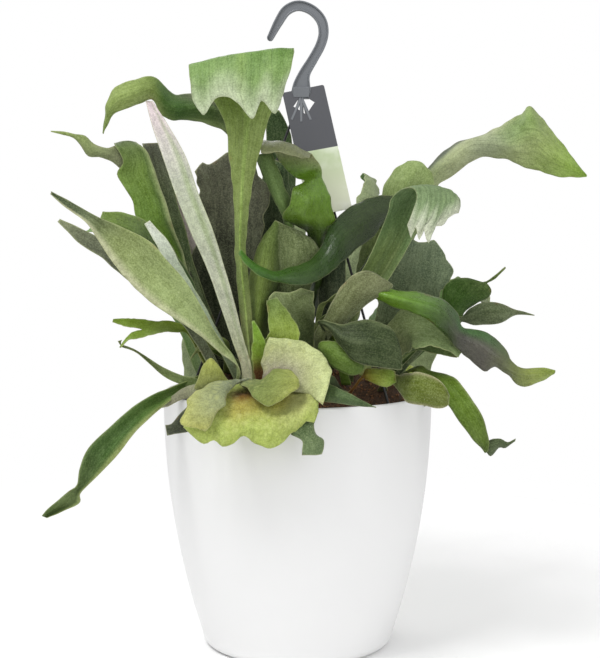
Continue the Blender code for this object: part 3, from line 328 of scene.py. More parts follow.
# Fronds: blades that follow a line. root is x, y and width, and path is x, y, z and width, in cm. face
# is the way the blade faces at its root and look the way it turns to, cup the slope of its margins in
# degrees, end how far each lane runs, wave the height and number of its waves, lobes its forks, and
# kind its skin, which is fresh where none is named.
# Colours run from root to tip: upper on the face, and under on the back where that differs.
fronds = {
    # front crown: the thin frond at the left and the young leaves
    "under_left": dict(
        root=(-5.3, -5.4, 0.8), face=(0.2, -1, 0.6), cup=20, strips=2,
        path=[(-8.1, -6.8, 26.6, 0.9), (-10.3, -7.2, 29.0, 1.5), (-12.3, -7.2, 30.8, 1.6),
              (-14.6, -7.0, 32.6, 1.5), (-16.4, -6.6, 33.6, 1.2), (-18.5, -6.0, 35.0, 0.3)],
        kind="felt", upper=[(80, 86, 66), (78, 84, 68), (92, 96, 82), (110, 116, 90)],
        under=[(140, 150, 110), (150, 160, 120)],
    ),
    "bright_leaf": dict(
        root=(-2.8, -6.9, 1), face=(0, -1, 0), cup=30, strips=2,
        path=[(-2.9, -7.8, 24.9, 1.3), (-3.0, -8.2, 26.0, 0.9), (-3.4, -8.4, 27.4, 0.2)],
        upper=[(104, 56, 40), (112, 74, 46), (140, 168, 72), (132, 166, 66), (120, 160, 62)],
        under=[(120, 160, 62)],
    ),
    "olive_rise": dict(
        root=(-1.7, -6.1, 1.2), face=(0, -1, 0), cup=40, strips=4,
        path=[(-1.2, -7.4, 25.4, 2.8), (-1.2, -7.7, 26.6, 2.6), (-1.6, -7.7, 27.9, 1.7),
              (-2.0, -7.5, 29.0, 0.9)],
        upper=[(150, 130, 80), (160, 176, 84), (146, 166, 82), (112, 134, 74)],
        under=[(120, 140, 84)],
    ),
    # left crown
    "fork_left": dict(
        root=(-6.7, -3.6, 0.8), face=(0.1, -0.6, 1), look=(0, -1, 1), cup=20, strips=4,
        path=[(-8.3, -5.2, 26.0, 0.9), (-9.6, -5.7, 26.6, 1.3), (-10.9, -6.0, 26.6, 1.6),
              (-12.0, -6.2, 26.5, 2.1)],
        lobes=[(0, 2, [(-13.0, -6.7, 25.9, 0.9), (-13.7, -7.1, 25.2, 0.3)]),
               (2, 4, [(-13.2, -6.0, 27.0, 0.9), (-14.4, -6.0, 27.2, 0.3)])],
        upper=[(132, 142, 53), (118, 139, 48), (110, 137, 42)], under=[(132, 127, 68)],
    ),
    # middle crown: the dark fronds behind the straps
    "dark_lobe": dict(
        root=(-4.6, -2.4, 0.8), face=(0, -1, 0.4), cup=20, strips=4,
        path=[(-7.3, -5.0, 27.3, 0.9), (-9.1, -5.8, 30.4, 1.6), (-10.8, -6.4, 32.7, 2.1),
              (-12.1, -6.8, 34.1, 2.1), (-13.6, -7.0, 34.8, 1.7), (-15.1, -7.0, 35.3, 0.9)],
        kind="glossy", upper=[(35, 48, 24), (42, 63, 28), (45, 71, 29), (74, 92, 53), (102, 124, 53)],
        under=[(56, 68, 42)],
    ),
    "sliver_left": dict(
        root=(-4.4, -5.0, 0.6), face=(0, -1, 0.2), cup=30, strips=2,
        path=[(-7.2, -7.6, 27.9, 0.7), (-8.9, -8.4, 30.7, 1.0), (-10.1, -8.6, 33.0, 1.0),
              (-11.4, -8.5, 34.9, 0.5)],
        kind="felt", upper=[(140, 156, 124), (160, 174, 150), (176, 188, 166), (206, 210, 200)],
        under=[(120, 134, 100)],
    ),
    # grey_broad: the near-black lower part of its colours is painted shade; the grey-brown towards the tip is
    # its own colour
    "grey_broad": dict(
        root=(-3.2, -1.4, 1), face=(0, -1, 0), cup=24, strips=4,
        path=[(-4.8, -2.9, 29.4, 2.4), (-5.0, -3.1, 33.0, 4.2), (-5.0, -3.3, 36.2, 5.6),
              (-5.1, -3.4, 38.5, 6.0), (-5.5, -3.4, 40.4, 5.6)],
        kind="felt", wave=(0.25, 2), end=[0.94, 0.98, 0.96, 0.97, 0.985, 1.0, 0.96, 0.92, 0.90, 0.86, 0.80],
        upper=[(30, 33, 22), (35, 38, 27), (41, 44, 31), (49, 51, 39), (73, 73, 61), (88, 88, 75)],
        under=[(63, 66, 49)],
    ),
    # right crown: a thin stalk and the cupped blade before it
    "thin_stalk": dict(
        root=(1.3, -4.6, 0.5), face=(0, -1, 0), cup=30, strips=2,
        path=[(1.7, -6.2, 27.8, 0.5), (2.5, -7.0, 28.9, 0.5), (3.6, -7.1, 29.5, 0.4)],
        upper=[(112, 122, 70), (118, 132, 80)], under=[(110, 120, 70)],
    ),
    "olive_cup": dict(
        root=(1.2, -3.4, 1), face=(0, -1, 0), cup=50, strips=4,
        path=[(0.5, -5.2, 26.8, 1.9), (0.0, -6.1, 28.2, 3.2), (-0.5, -6.5, 29.1, 4.3),
              (-0.7, -6.6, 29.8, 4.6)],
        kind="felt", end=[0.90, 0.96, 1.0, 0.97, 0.95, 0.96, 0.98, 0.96, 0.92],
        upper=[(70, 84, 52), (96, 112, 70), (112, 126, 82), (122, 134, 92)], under=[(110, 120, 84)],
    ),
    # low right crown
    "pale_front": dict(
        root=(6.5, -1.9, 1), face=(0, -1, 0.4), cup=30, strips=4,
        path=[(8.1, -5.4, 25.9, 2.8), (9.2, -6.2, 26.6, 3.8), (10.5, -6.4, 26.4, 3.6),
              (11.7, -6.4, 25.7, 2.5), (12.7, -6.2, 24.6, 0.9)],
        kind="felt", upper=[(150, 144, 110), (126, 134, 92), (108, 126, 80), (112, 132, 80)],
        under=[(120, 130, 90)],
    ),
    "broad_right": dict(
        root=(6.5, -0.1, 1), face=(-0.2, -1, 0.2), cup=24, strips=4,
        path=[(8.1, 0.0, 27.2, 3.4), (8.9, 0.0, 29.4, 5.6), (9.5, -0.2, 31.3, 6.4),
              (9.9, -0.4, 33.6, 4.6)],
        kind="felt", wave=(0.2, 2), end=[0.86, 0.95, 1.0, 0.98, 0.96, 0.97, 1.0, 0.95, 0.85],
        upper=[(64, 74, 46), (72, 84, 56), (80, 94, 70), (92, 106, 84)], under=[(88, 100, 78)],
    ),
    "thin_right": dict(
        root=(7.3, -1.6, 0.6), face=(0, -0.6, 1), cup=30, strips=2,
        path=[(9.2, -4.0, 24.8, 0.8), (10.9, -5.0, 24.8, 0.9), (12.6, -5.4, 24.4, 0.5)],
        upper=[(96, 116, 66), (84, 108, 60), (120, 140, 86)], under=[(100, 120, 70)],
    ),
    # back crowns: the fronds that the front hides or that only other sides show
    "behind_tag": dict(
        root=(-0.5, 4.2, 0.8), face=(0, -1, 0), cup=20, strips=2,
        path=[(-0.8, 4.4, 28.1, 0.9), (-1.1, 3.8, 34.0, 1.6), (-1.4, 3.0, 39.1, 2.4),
              (-1.7, 2.4, 42.5, 1.9), (-1.9, 2.0, 43.9, 0.8)],
        kind="felt", upper=[(54, 70, 44), (56, 76, 46), (62, 86, 50)], under=[(80, 96, 66)],
    ),
    "back_strap": dict(
        root=(-1.6, 4.3, 0.8), face=(0, -1, 0), cup=20, strips=2,
        path=[(-2.1, 3.9, 28.2, 0.9), (-1.9, 2.6, 32.4, 1.2), (-3.0, 1.8, 35.5, 1.8),
              (-5.1, 1.4, 38.0, 1.6), (-6.8, 1.2, 39.6, 0.6)],
        kind="felt", upper=[(54, 66, 44), (66, 78, 54), (74, 84, 60)], under=[(80, 90, 66)],
    ),
    "rear_left": dict(
        root=(-2.3, 4.6, 1), face=(0.3, 1, 0.2), cup=24, strips=4, look=(0.3, 1, 0.2),
        path=[(-5.0, 7.4, 28.0, 2.2), (-7.2, 9.6, 33.0, 3.6), (-8.6, 11.2, 36.4, 5.0)],
        lobes=[(0, 2, [(-7.4, 12.8, 38.9, 1.9), (-7.0, 14.2, 39.8, 1.6), (-7.2, 15.4, 39.8, 0.6)]),
               (2, 4, [(-10.8, 12.4, 38.0, 1.9), (-12.2, 13.4, 38.4, 1.6), (-13.6, 14.2, 37.8, 0.6)])],
        wave=(0.2, 3), upper=[(86, 106, 60), (80, 112, 52), (88, 124, 56)], under=[(130, 142, 106)],
    ),
    "rear_right": dict(
        root=(3.9, 5.6, 1), face=(-0.3, 1, 0.2), cup=24, strips=4, look=(-0.3, 1, 0.2),
        path=[(4.8, 8.2, 28.4, 2.4), (6.2, 11.0, 33.0, 4), (7.8, 13.2, 36.0, 5.2)],
        lobes=[(2, 4, [(6.9, 15.2, 38.2, 1.9), (6.6, 16.8, 38.7, 1.6), (6.6, 18.0, 38.2, 0.6)]),
               (0, 2, [(10.2, 14.6, 37.2, 1.9), (11.8, 15.6, 37.5, 1.7), (13.2, 16.2, 36.7, 0.6)])],
        wave=(0.2, 3), upper=[(80, 100, 56), (76, 108, 50), (84, 120, 54)], under=[(128, 140, 104)],
    ),
    "rear_centre": dict(
        root=(-0.3, 4.9, 1), face=(0, 1, 0.2), cup=30, strips=4, look=(0, 1, 0.2),
        path=[(-1.0, 9.0, 27.0, 3.0), (-1.6, 12.6, 30.6, 5.2), (-2.0, 15.0, 34.4, 5.8),
              (-2.4, 16.8, 37.2, 4.0), (-3.0, 18.4, 37.8, 1.6)],
        wave=(0.25, 3), end=[0.88, 0.96, 1.0, 0.94, 0.9, 0.94, 1.0, 0.96, 0.88],
        upper=[(90, 112, 62), (84, 118, 54), (96, 132, 60)], under=[(132, 144, 108)],
    ),
    "rear_drop_left": dict(
        root=(-3.0, 3.4, 1), face=(0, 0.4, 1), cup=24, strips=4, look=(-0.3, 0.6, 1),
        path=[(-5.7, 7.0, 25.1, 1.7), (-7.5, 10.6, 25.9, 2.7), (-9.1, 13.6, 24.3, 2.8),
              (-9.7, 15.6, 20.9, 2.0), (-9.9, 16.4, 17.5, 0.6)],
        wave=(0.2, 3), upper=[(86, 108, 60), (78, 112, 52), (70, 100, 48)], under=[(126, 138, 102)],
    ),
    "rear_drop_right": dict(
        root=(4.9, 4.9, 1), face=(0, 0.4, 1), cup=24, look=(0.3, 0.6, 1), strips=4,
        path=[(7.4, 9.0, 25.6, 2.8), (9.4, 13.0, 26.6, 4.4), (11.0, 16.0, 25.0, 4.4),
              (11.4, 17.4, 21.6, 3), (11.2, 18.0, 17.8, 1)],
        wave=(0.2, 3), upper=[(84, 104, 58), (82, 116, 54), (74, 106, 50)], under=[(126, 138, 102)],
    ),
    "side_left": dict(
        root=(-7.5, -1.6, 1), face=(-1, 0, 0.8), cup=24, look=(-0.5, 0.3, 1), strips=4,
        path=[(-9.9, 1.6, 27.4, 1.8), (-13.1, 4.0, 31.9, 2.4), (-16.1, 6.0, 33.9, 2.4),
              (-18.3, 7.6, 33.9, 1.1)],
        wave=(0.2, 3), upper=[(84, 104, 58), (80, 112, 54), (92, 126, 60)], under=[(126, 138, 102)],
    ),
    "side_right": dict(
        root=(7.8, 0.4, 1), face=(1, 0, 0.8), cup=24, look=(0.5, 0.3, 1), strips=4,
        path=[(10.5, 3.4, 26.2, 1.9), (13.0, 5.6, 28.1, 2.7), (15.2, 7.8, 28.7, 2.6),
              (16.8, 10.4, 27.1, 1.2)],
        wave=(0.2, 3), upper=[(84, 104, 58), (80, 112, 54), (92, 126, 60)], under=[(126, 138, 102)],
    ),
}


# Sheets: broad leaves and leaf tips drawn as nets of points, row by row from the root to the tip.
# A place is across and down in the picture, in pixels, and how far before the upright axis it lies, in
# cm. Five numbers give both margins of a row and their one distance, and its middle then lies bow cm
# nearer. Rows that the picture can't show are x, y and z in cm. A sheet with a slot has no solid.
# Where a sheet has no under, its back is painted as its face.
sheets = {
    "shield_low": dict(
        root=(-3.2, -7.8, 2.4), kind="shield", pucker=1.5, crinkle=1.8,
        seen=[
            [(233, 386, 9.2), (238, 385, 9), (243, 385, 8.8), (249, 385, 8.6), (256, 385, 8.4),
             (262, 385, 8.4), (269, 385, 8.4), (276, 384, 8.4), (283, 384, 8.4), (289, 384, 8.4),
             (294, 384, 8.4)],
            [(213, 398, 11.4), (220, 397, 11.3), (229, 396, 11.2), (240, 396, 11), (252, 397, 11),
             (264, 398, 11), (276, 397, 11), (287, 395, 11), (296, 392, 11), (303, 389, 10.9),
             (309, 386, 10.8)],
            [(196, 412, 13.2), (206, 411, 13.3), (218, 410, 13.2), (232, 410, 13), (247, 411, 13),
             (262, 413, 13), (277, 412, 13), (291, 408, 13), (303, 403, 12.9), (311, 399, 12.7),
             (317, 395, 12.4)],
            [(188, 421, 13.9), (200, 425, 14.2), (214, 426, 14.2), (229, 425, 14.2), (245, 424, 14.1),
             (261, 430, 14.2), (277, 430, 14.2), (291, 422, 14), (303, 415, 13.8), (312, 408, 13.4),
             (318, 401, 13)],
            [(183, 427, 14), (192, 436, 14.2), (203, 443, 14.2), (213, 440, 14.2), (222, 446, 14.2),
             (233, 443, 14.2), (243, 436, 14.2), (254, 443, 14.2), (267, 448, 14.2), (281, 444, 14.1),
             (291, 434, 14), (298, 431, 13.9), (306, 422, 13.8), (314, 423, 13.6), (319, 411, 13.2)]],
        upper=[(116, 94, 55), (124, 90, 52), (132, 102, 53), (155, 147, 63), (171, 182, 74), (178, 194, 81),
               (184, 200, 90), (192, 208, 107)],
        under=[(146, 157, 92), (155, 169, 92)],
        # the first dab is the brown of the hollow between the fold and the lip, darkened with painted shade
        dabs=[(0.45, -0.42, 0.13, 0.32, (76, 44, 26), 0.95), (0.62, -0.25, 0.2, 0.35, (170, 132, 66), 0.45),
              (0.6, 0.65, 0.3, 0.4, (176, 170, 124), 0.6), (0.5, 0.3, 0.2, 0.3, (196, 178, 70), 0.5)],
    ),
    "curl_front": dict(
        root=(-3.4, -6.2, 0.9), pucker=0.3, crinkle=0.7, ribs=(0.86, 0.35, 11),
        seen=[
            [(249, 378, 7), (252, 378, 7.2), (255, 378, 7)], [(243, 340, 7), (248, 340, 7.5), (253, 340, 7)],
            [(238, 295, 7), (244, 295, 7.6), (250, 295, 7)], [(235, 250, 7), (240, 250, 7.6), (246, 250, 7)],
            [(234, 215, 7), (241, 215, 7.6), (249, 213, 7)],
            [(232, 180, 6.8), (242, 180, 7.3), (254, 176, 6.8)],
            [(229, 150, 6.6), (243, 150, 7), (262, 145, 6.6)],
            [(225, 122, 6.6), (245, 122, 6.8), (270, 117, 6.4)],
            [(214, 100, 6.8), (243, 98, 6.4), (281, 92, 6.6)],
            [(199, 82, 7.2), (242, 72, 6.6), (290, 64, 7)], [(191, 71, 8.2), (242, 59, 7.8), (294, 53, 8)],
            [(190, 65, 9.3), (204, 62, 9.5), (217, 59, 9.6), (230, 56, 9.6), (243, 54, 9.6), (256, 52, 9.6),
             (269, 50, 9.6), (281, 49, 9.5), (294, 49, 9.3)],
            [(191, 80, 10.4), (204, 79, 10.6), (217, 77, 10.6), (230, 75, 10.6), (243, 74, 10.6),
             (256, 72, 10.6), (268, 70, 10.6), (280, 69, 10.5), (292, 66, 10.3)],
            [(193, 98, 10.7), (205, 100, 10.8), (217, 93, 10.8), (229, 91, 10.8), (241, 94, 10.8),
             (253, 97, 10.8), (264, 92, 10.8), (275, 94, 10.7), (286, 84, 10.5)],
            [(197, 106, 10.6), (205, 115, 10.7), (216, 99, 10.7), (228, 97, 10.7), (240, 105, 10.7),
             (253, 119, 10.7), (262, 101, 10.7), (275, 114, 10.6), (283, 95, 10.4)]],
        upper=[(216, 216, 174), (147, 156, 100), (129, 146, 86), (127, 144, 84), (126, 142, 81),
               (121, 138, 77), (113, 135, 63), (108, 133, 58), (108, 133, 58)],
        under=[(93, 128, 51)] * 10 + [(62, 94, 34), (86, 118, 54), (116, 142, 86), (188, 198, 168)],
        # the paler band down the middle of the sheet is a painted highlight
        dabs=[(0.5, 0, 0.42, 0.12, (134, 158, 84), 0.7)],
    ),
    "shield_tab": dict(
        root=(-0.4, -8.2, 0.8), kind="felt",
        seen=[
            [(303, 408, 12.6), (308, 408, 12.6), (313, 407, 12.4), (317, 404, 12.2)],
            [(300, 420, 13.4), (306, 420, 13.5), (311, 420, 13.4), (316, 418, 13.2)],
            [(291, 433, 13.8), (298, 430, 13.9), (306, 427, 13.8), (314, 425, 13.5)],
            [(294, 436, 14), (303, 436, 14.1), (309, 434, 14), (316, 434, 13.7)],
            [(302, 441, 14.1), (309, 442, 14.2), (316, 440, 14.2), (324, 440, 13.9)],
            [(302, 449, 14.1), (309, 450, 14.2), (316, 450, 14.2), (324, 449, 13.9)],
            [(302, 455, 14), (309, 455, 14.1), (316, 455, 14.1), (322, 454, 13.9)]],
        upper=[(57, 74, 40), (53, 71, 38), (49, 65, 34), (80, 98, 61)],
        under=[(53, 71, 36), (55, 73, 38), (59, 78, 41), (91, 110, 74)],
    ),
    "silver_strap": dict(
        root=(-3.9, -7, 0.8), kind="felt", pucker=0.2, crinkle=0.3, bow=-0.5,
        seen=[(241, 367, 251, 367, 7.6), (231, 338, 243, 338, 7.9), (219, 302, 234, 302, 8.1),
              (206, 266, 224, 266, 8.2), (190, 230, 213, 230, 8.2), (176, 194, 199, 194, 8),
              (164, 158, 187, 158, 7.5), (154, 128, 171, 128, 6.7), (147, 101, 154, 101, 5.7)],
        upper=[(214, 208, 184), (174, 176, 150), (183, 186, 167), (185, 188, 171), (176, 182, 160),
               (183, 186, 171), (208, 202, 199), (233, 216, 223)],
        dabs=[(0.6, 0.35, 0.5, 0.3, (146, 164, 116), 0.6)],
    ),
    "olive_left": dict(
        root=(-5.1, -6.2, 0.9), kind="felt", pucker=0.4, crinkle=0.5,
        seen=[
            [(240, 372, 8), (237, 366, 8.1), (235, 361, 8)],
            [(220, 353, 8.6), (218, 343, 8.3), (216, 334, 8.6)],
            [(195, 332, 9.2), (197, 317, 8.8), (199, 303, 9.2)],
            [(172, 317, 9.6), (179, 298, 9.1), (185, 281, 9.6)],
            [(143, 296, 9.8), (156, 277, 9.2), (167, 260, 9.8)],
            [(116, 267, 9.8), (133, 253, 9.3), (149, 241, 9.8)],
            [(99, 241, 9.6), (110, 233, 9.2), (120, 226, 9.6)],
            [(86, 222, 9.4), (92, 219, 9.2), (99, 217, 9.4)],
            [(67, 208, 8.8), (71, 206, 8.7), (76, 204, 8.8)],
            [(51, 194, 8.2), (52, 193, 8.2), (52, 191, 8.2)]],
        upper=[(130, 142, 94), (139, 151, 103), (144, 157, 109), (142, 157, 105), (139, 153, 101),
               (125, 137, 87), (75, 86, 59), (53, 68, 41)],
        dabs=[(0.75, -0.95, 0.3, 0.3, (186, 186, 156), 0.7), (0.4, -0.9, 0.3, 0.2, (190, 188, 160), 0.5)],
    ),
    "wavy_left": dict(
        root=(-4, -1.6, 0.8), crinkle=0.6, bow=-0.5,
        seen=[(196, 340, 212, 340, 3.6), (184, 309, 199, 309, 4.2), (174, 280, 190, 280, 4.8),
              (165, 252, 183, 252, 5.2), (154, 234, 176, 234, 5.5), (137, 218, 171, 218, 5.8),
              (133, 201, 166, 201, 5.9), (125, 187, 161, 187, 6), (118, 174, 157, 174, 6.1),
              (124, 163, 153, 163, 6.2), (121, 153, 149, 153, 6.3), (117, 147, 144, 147, 6.2),
              [(115, 143, 5.4), (126, 141, 5.2), (137, 142, 5.2)]],
        upper=[(94, 112, 55), (96, 118, 55), (100, 126, 55), (104, 132, 57), (104, 134, 57), (104, 134, 57),
               (102, 130, 57), (100, 124, 57), (73, 88, 51)],
        dabs=[(0.55, 1, 0.5, 0.22, (160, 166, 128), 0.85), (0.62, 0.62, 0.5, 0.16, (60, 80, 42), 0.6)],
    ),
    "wavy_tail": dict(
        root=(-4.4, -1.2, 0.4), slot="leaf_green", pucker=0.3, crinkle=0.4,
        seen=[
            [(186, 301, 4), (187, 301, 4.1), (188, 301, 4)],
            [(150, 205, 5.2), (153, 204, 5.2), (156, 203, 5.2)],
            [(120, 168, 5.8), (122, 158, 5.9), (126, 149, 5.8)],
            [(104, 158, 6), (106, 153, 6.2), (108, 148, 5.8)],
            [(90, 156, 6), (92, 150, 6.3), (95, 144, 5.8)], [(83, 147, 6), (85, 142, 6.2), (87, 136, 5.9)],
            [(75, 138, 6), (75.5, 136, 6.1), (76, 134, 6)], [(65, 135, 6), (65, 133.5, 6), (65, 131.5, 6)],
            [(52.6, 132, 6), (52.6, 131.3, 6), (52.6, 130.6, 6)]],
        upper=[(90, 112, 54), (96, 124, 56), (104, 112, 84), (100, 96, 88), (108, 100, 92), (118, 128, 88),
               (132, 150, 86)],
    ),
    # dark_left: a frond in the shadow behind the others; its dark green is partly its own colour and partly
    # painted shade
    "dark_left": dict(
        root=(-4.1, 0, 0.8), kind="felt", crinkle=0.5, bow=-0.5,
        seen=[(206, 352, 224, 352, 0.8), (194, 325, 216, 325, 1.2), (182, 296, 205, 296, 1.6),
              (172, 260, 193, 260, 2.2), (165, 230, 186, 230, 2.6), (157, 203, 178, 203, 2.9),
              (152, 182, 173, 182, 3.1), (148, 160, 165, 160, 3.3), (143, 143, 159, 143, 3.4)],
        upper=[(42, 50, 32), (48, 60, 34), (54, 68, 38), (60, 76, 42), (64, 80, 46), (82, 90, 66),
               (106, 108, 96)],
    ),
    "pale_patch": dict(
        root=(-4.3, 1.4, 0.5), kind="felt", slot="leaf_pale", pucker=0.3, bow=-0.5,
        seen=[(206, 330, 218, 330, -0.4), (192, 280, 206, 280, 0.2), (184, 240, 198, 240, 0.8),
              (180, 222, 194, 222, 1), (176, 206, 191, 206, 1.2), (173, 191, 182, 191, 1.3)],
        upper=[(60, 66, 46), (120, 120, 96), (186, 176, 168), (204, 192, 190), (208, 196, 196)],
    ),
    "dark_front": dict(
        root=(1.7, -5, 0.8), pucker=0.6, crinkle=0.6,
        seen=[
            [(322, 336, 7), (325, 338, 7.1), (328, 340, 7)],
            [(318, 321, 8.4), (320, 323, 8.6), (323, 326, 8.5)],
            [(331, 322, 9.6), (331, 327, 10), (331, 332, 9.8)],
            [(342, 325, 10), (341, 336, 10.7), (341, 347, 10.4)],
            [(354, 321, 10.2), (354, 340, 11.1), (353, 360, 10.8)],
            [(368, 319.5, 10.2), (370, 342, 11.3), (370, 366, 11.2)],
            [(384, 324, 10.4), (386, 346, 11.4), (387, 368, 11.4)],
            [(395, 332, 10.8), (398, 350, 11.4), (400, 370, 11.4)],
            [(402, 349, 11.2), (402.5, 359, 11.4), (403, 369, 11.4)]],
        upper=[(46, 58, 22), (46, 61, 22), (43, 56, 23), (40, 53, 20), (38, 51, 20), (36, 51, 17),
               (36, 51, 17)],
        dabs=[(0.5, 0, 0.3, 0.2, (92, 104, 76), 0.5), (0.5, -0.95, 0.4, 0.12, (104, 116, 78), 0.5)],
    ),
    # a dark sheet that fills the gaps at the left of the middle with painted shade
    "dark_fill": dict(
        root=(-3.2, 0.6, 1.6), kind="felt", slot="leaf_dark", bow=-0.8,
        seen=[(206, 376, 252, 376, 1), (200, 348, 252, 348, 1.2), (192, 318, 252, 318, 1.4),
              (188, 290, 250, 290, 1.6), (190, 262, 248, 262, 1.8), (200, 238, 246, 238, 2),
              (214, 222, 244, 222, 2)],
        upper=[(26, 30, 20), (32, 38, 26), (38, 46, 30), (44, 52, 36), (56, 60, 48), (70, 70, 62)],
    ),
    "olive_tail": dict(
        root=(-5.6, -2.6, 0.8), slot="leaf_green", crinkle=1.4,
        seen=[
            [(222, 350, 5), (226, 346, 5.1), (229, 342, 5)],
            [(206, 352, 5.4), (210, 344, 5.6), (215, 337, 5.4)],
            [(196, 354, 5.6), (200, 345, 5.8), (205, 335, 5.6)],
            [(189, 359, 5.6), (192, 354, 5.7), (195, 349, 5.6)]],
        upper=[(96, 112, 56), (112, 128, 68), (120, 136, 76), (150, 156, 108)],
    ),
    "fork_right": dict(
        root=(7.7, -0.9, 1), pucker=0.4, crinkle=0.5, bow=0.4,
        seen=[(440, 328, 448, 332, 1.6), (450, 317, 462, 322, 2.4), (442, 305, 465, 313, 2.8),
              (442, 296, 477, 303, 3.2), (445, 286, 488, 298, 3.4), (454, 279, 492, 291, 3.6),
              (468, 278, 489, 285, 3.6), (483, 282, 488, 283, 3.5), (493, 277, 495, 279, 3.4),
              (505, 267, 505.5, 268, 3.3)],
        upper=[(46, 66, 20), (48, 72, 20), (51, 84, 20), (55, 90, 21), (49, 81, 21), (57, 78, 26),
               (82, 100, 37)],
    ),
    "fork_tip": dict(
        root=(7.9, -1.4, 0.6), kind="felt", slot="leaf_green", pucker=0.4, crinkle=0.4, bow=0.4,
        seen=[(450, 318, 450, 324, 2.4), (462, 317, 463, 322, 3), (470, 309, 474, 325, 3.4),
              (480, 303.5, 484, 325, 3.8), (492, 302, 496, 324, 4), (503, 304.5, 506, 321, 4),
              (514, 309, 516, 315, 3.9), (526, 312, 527, 315, 3.8), (535, 315, 535, 315.6, 3.6)],
        upper=[(56, 70, 42), (66, 80, 52), (74, 86, 60), (78, 90, 60), (86, 96, 70)],
    ),
    "long_right": dict(
        root=(7.8, -2.3, 1), pucker=0.3, crinkle=0.4, bow=0.4,
        seen=[(418, 366, 412, 372, 4.2), (430, 370, 424, 380, 5), (447, 374.5, 433, 382, 6),
              (457, 379, 440, 394, 7), (466, 389, 451, 407, 7.8), (476, 403, 459, 419, 8.3),
              (484, 416, 468, 431, 8.6), (489, 432, 475, 440, 8.7), (491, 443, 483, 447, 8.7),
              (490, 452, 487, 453, 8.6)],
        upper=[(65, 79, 26), (73, 88, 28), (79, 98, 29), (86, 109, 31), (87, 113, 31), (84, 109, 31),
               (79, 102, 29), (73, 92, 29)],
        dabs=[(0.4, 0.9, 0.2, 0.35, (64, 80, 44), 0.6), (0.5, -1, 0.5, 0.14, (150, 160, 110), 0.5)],
    ),
    "long_tip": dict(
        root=(8.6, -2.6, 0.4), slot="leaf_green", pucker=0.3, crinkle=0.4, bow=0.4,
        seen=[(452, 400, 450, 404, 6.6), (478, 428, 474, 436, 8), (488, 440, 487, 450, 8.2),
              (495, 439, 493, 456, 8.2), (503, 439, 501, 447.5, 8), (510, 442, 508, 448, 7.8),
              (518, 439, 517, 441, 7.5)],
        upper=[(80, 100, 50), (70, 88, 48), (60, 76, 44), (66, 80, 50), (74, 88, 56)],
    ),
    "low_right": dict(
        root=(6.8, -3.4, 0.8), kind="felt", crinkle=0.6, bow=0.4,
        seen=[(388, 372, 387, 378, 7.4), (399, 375, 398, 388, 8.8), (408, 373, 405, 400, 10),
              (418, 372, 415, 404, 10.9), (428, 374, 427, 406, 11.4), (438, 378, 438, 408, 11.8),
              (446, 385, 446, 407, 12), (451, 396, 450, 404, 12)],
        upper=[(84, 89, 32), (90, 97, 33), (89, 99, 31), (86, 99, 28), (84, 97, 27), (87, 97, 31)],
        dabs=[(0.7, -1, 0.5, 0.16, (180, 170, 146), 0.6), (0.7, 1, 0.5, 0.12, (170, 160, 130), 0.5)],
    ),
    "small_round": dict(
        root=(2.9, -4.9, 0.8), pucker=0.4, crinkle=0.5, bow=0.4,
        seen=[(320, 352, 321, 356, 8), (320, 343, 319, 350, 8.6), (328, 341, 325, 358, 9.2),
              (338, 342, 333, 367, 9.6), (349, 346, 346, 374, 9.8), (358, 355, 356, 375, 9.8),
              (365, 365, 363, 371, 9.6)],
        upper=[(77, 94, 43), (88, 110, 46), (96, 121, 52), (90, 115, 46), (79, 103, 41)],
    ),
    "brown_scale": dict(
        root=(3.6, -5.6, 0.5), slot="leaf_green", pucker=0.4, crinkle=0.6, bow=0.4,
        seen=[(362, 376, 362, 380, 8), (366, 369, 366, 380, 8.8), (376, 368, 376, 384, 9.4),
              (387, 369, 388, 387, 9.6), (396, 371, 397, 382, 9.4)],
        upper=[(96, 70, 44), (140, 92, 54), (160, 116, 60), (132, 140, 58), (118, 144, 62)],
    ),
    "soil_leaf": dict(
        root=(3.9, -4.6, 0.6), pucker=0.3, crinkle=0.4, bow=0.4,
        seen=[(334, 376, 328, 386, 9), (328, 382, 323, 400, 10.4), (337, 387, 335, 403, 11.2),
              (349, 393, 348, 404.5, 11.8), (362, 400, 362, 406.5, 12.2), (377, 407, 377, 408, 12.4)],
        upper=[(44, 58, 32), (50, 64, 36), (60, 80, 42), (66, 88, 50), (60, 80, 46)],
    ),
    "long_left": dict(
        root=(-7.2, -3.9, 1), pucker=0.3, crinkle=0.4, bow=-0.6,
        seen=[(204, 384, 200, 376, 5.2), (192, 386.5, 188, 380, 5.8), (176, 396, 168, 388, 7),
              (160, 408, 149, 396, 8), (146, 420, 130, 408, 9.2), (132, 434, 108, 427, 10),
              (116, 454, 86, 448, 10.4), (100, 471, 77, 468, 10.4), (84, 486, 74, 485, 10.3),
              (77, 494, 66, 491, 10.2), (76, 503, 54, 501, 10), (60, 511, 44, 509, 9.7),
              (43, 518, 38, 516, 9.4)],
        upper=[(96, 116, 55), (88, 110, 49), (80, 108, 48), (74, 104, 44), (64, 94, 39), (62, 90, 40),
               (78, 98, 55), (98, 114, 70), (74, 96, 44)],
        dabs=[(0.5, -1, 0.42, 0.36, (142, 152, 96), 0.85), (0.5, 1, 0.3, 0.2, (92, 112, 66), 0.5)],
    ),
    "rim_leaf": dict(
        root=(-6.5, -5.4, 0.8), pucker=0.4, crinkle=0.6, bow=0.4,
        seen=[(204, 396, 200, 388, 9.8), (200, 418, 196, 396, 11.2), (190, 430, 187, 406, 12.2),
              (181, 433, 178, 415, 12.4), (173, 434, 170, 424, 12.3), (166, 435, 164, 425, 12.2)],
        upper=[(104, 108, 62), (98, 100, 58), (86, 88, 54), (56, 62, 42), (46, 52, 38)],
    ),
    "rim_sliver": dict(
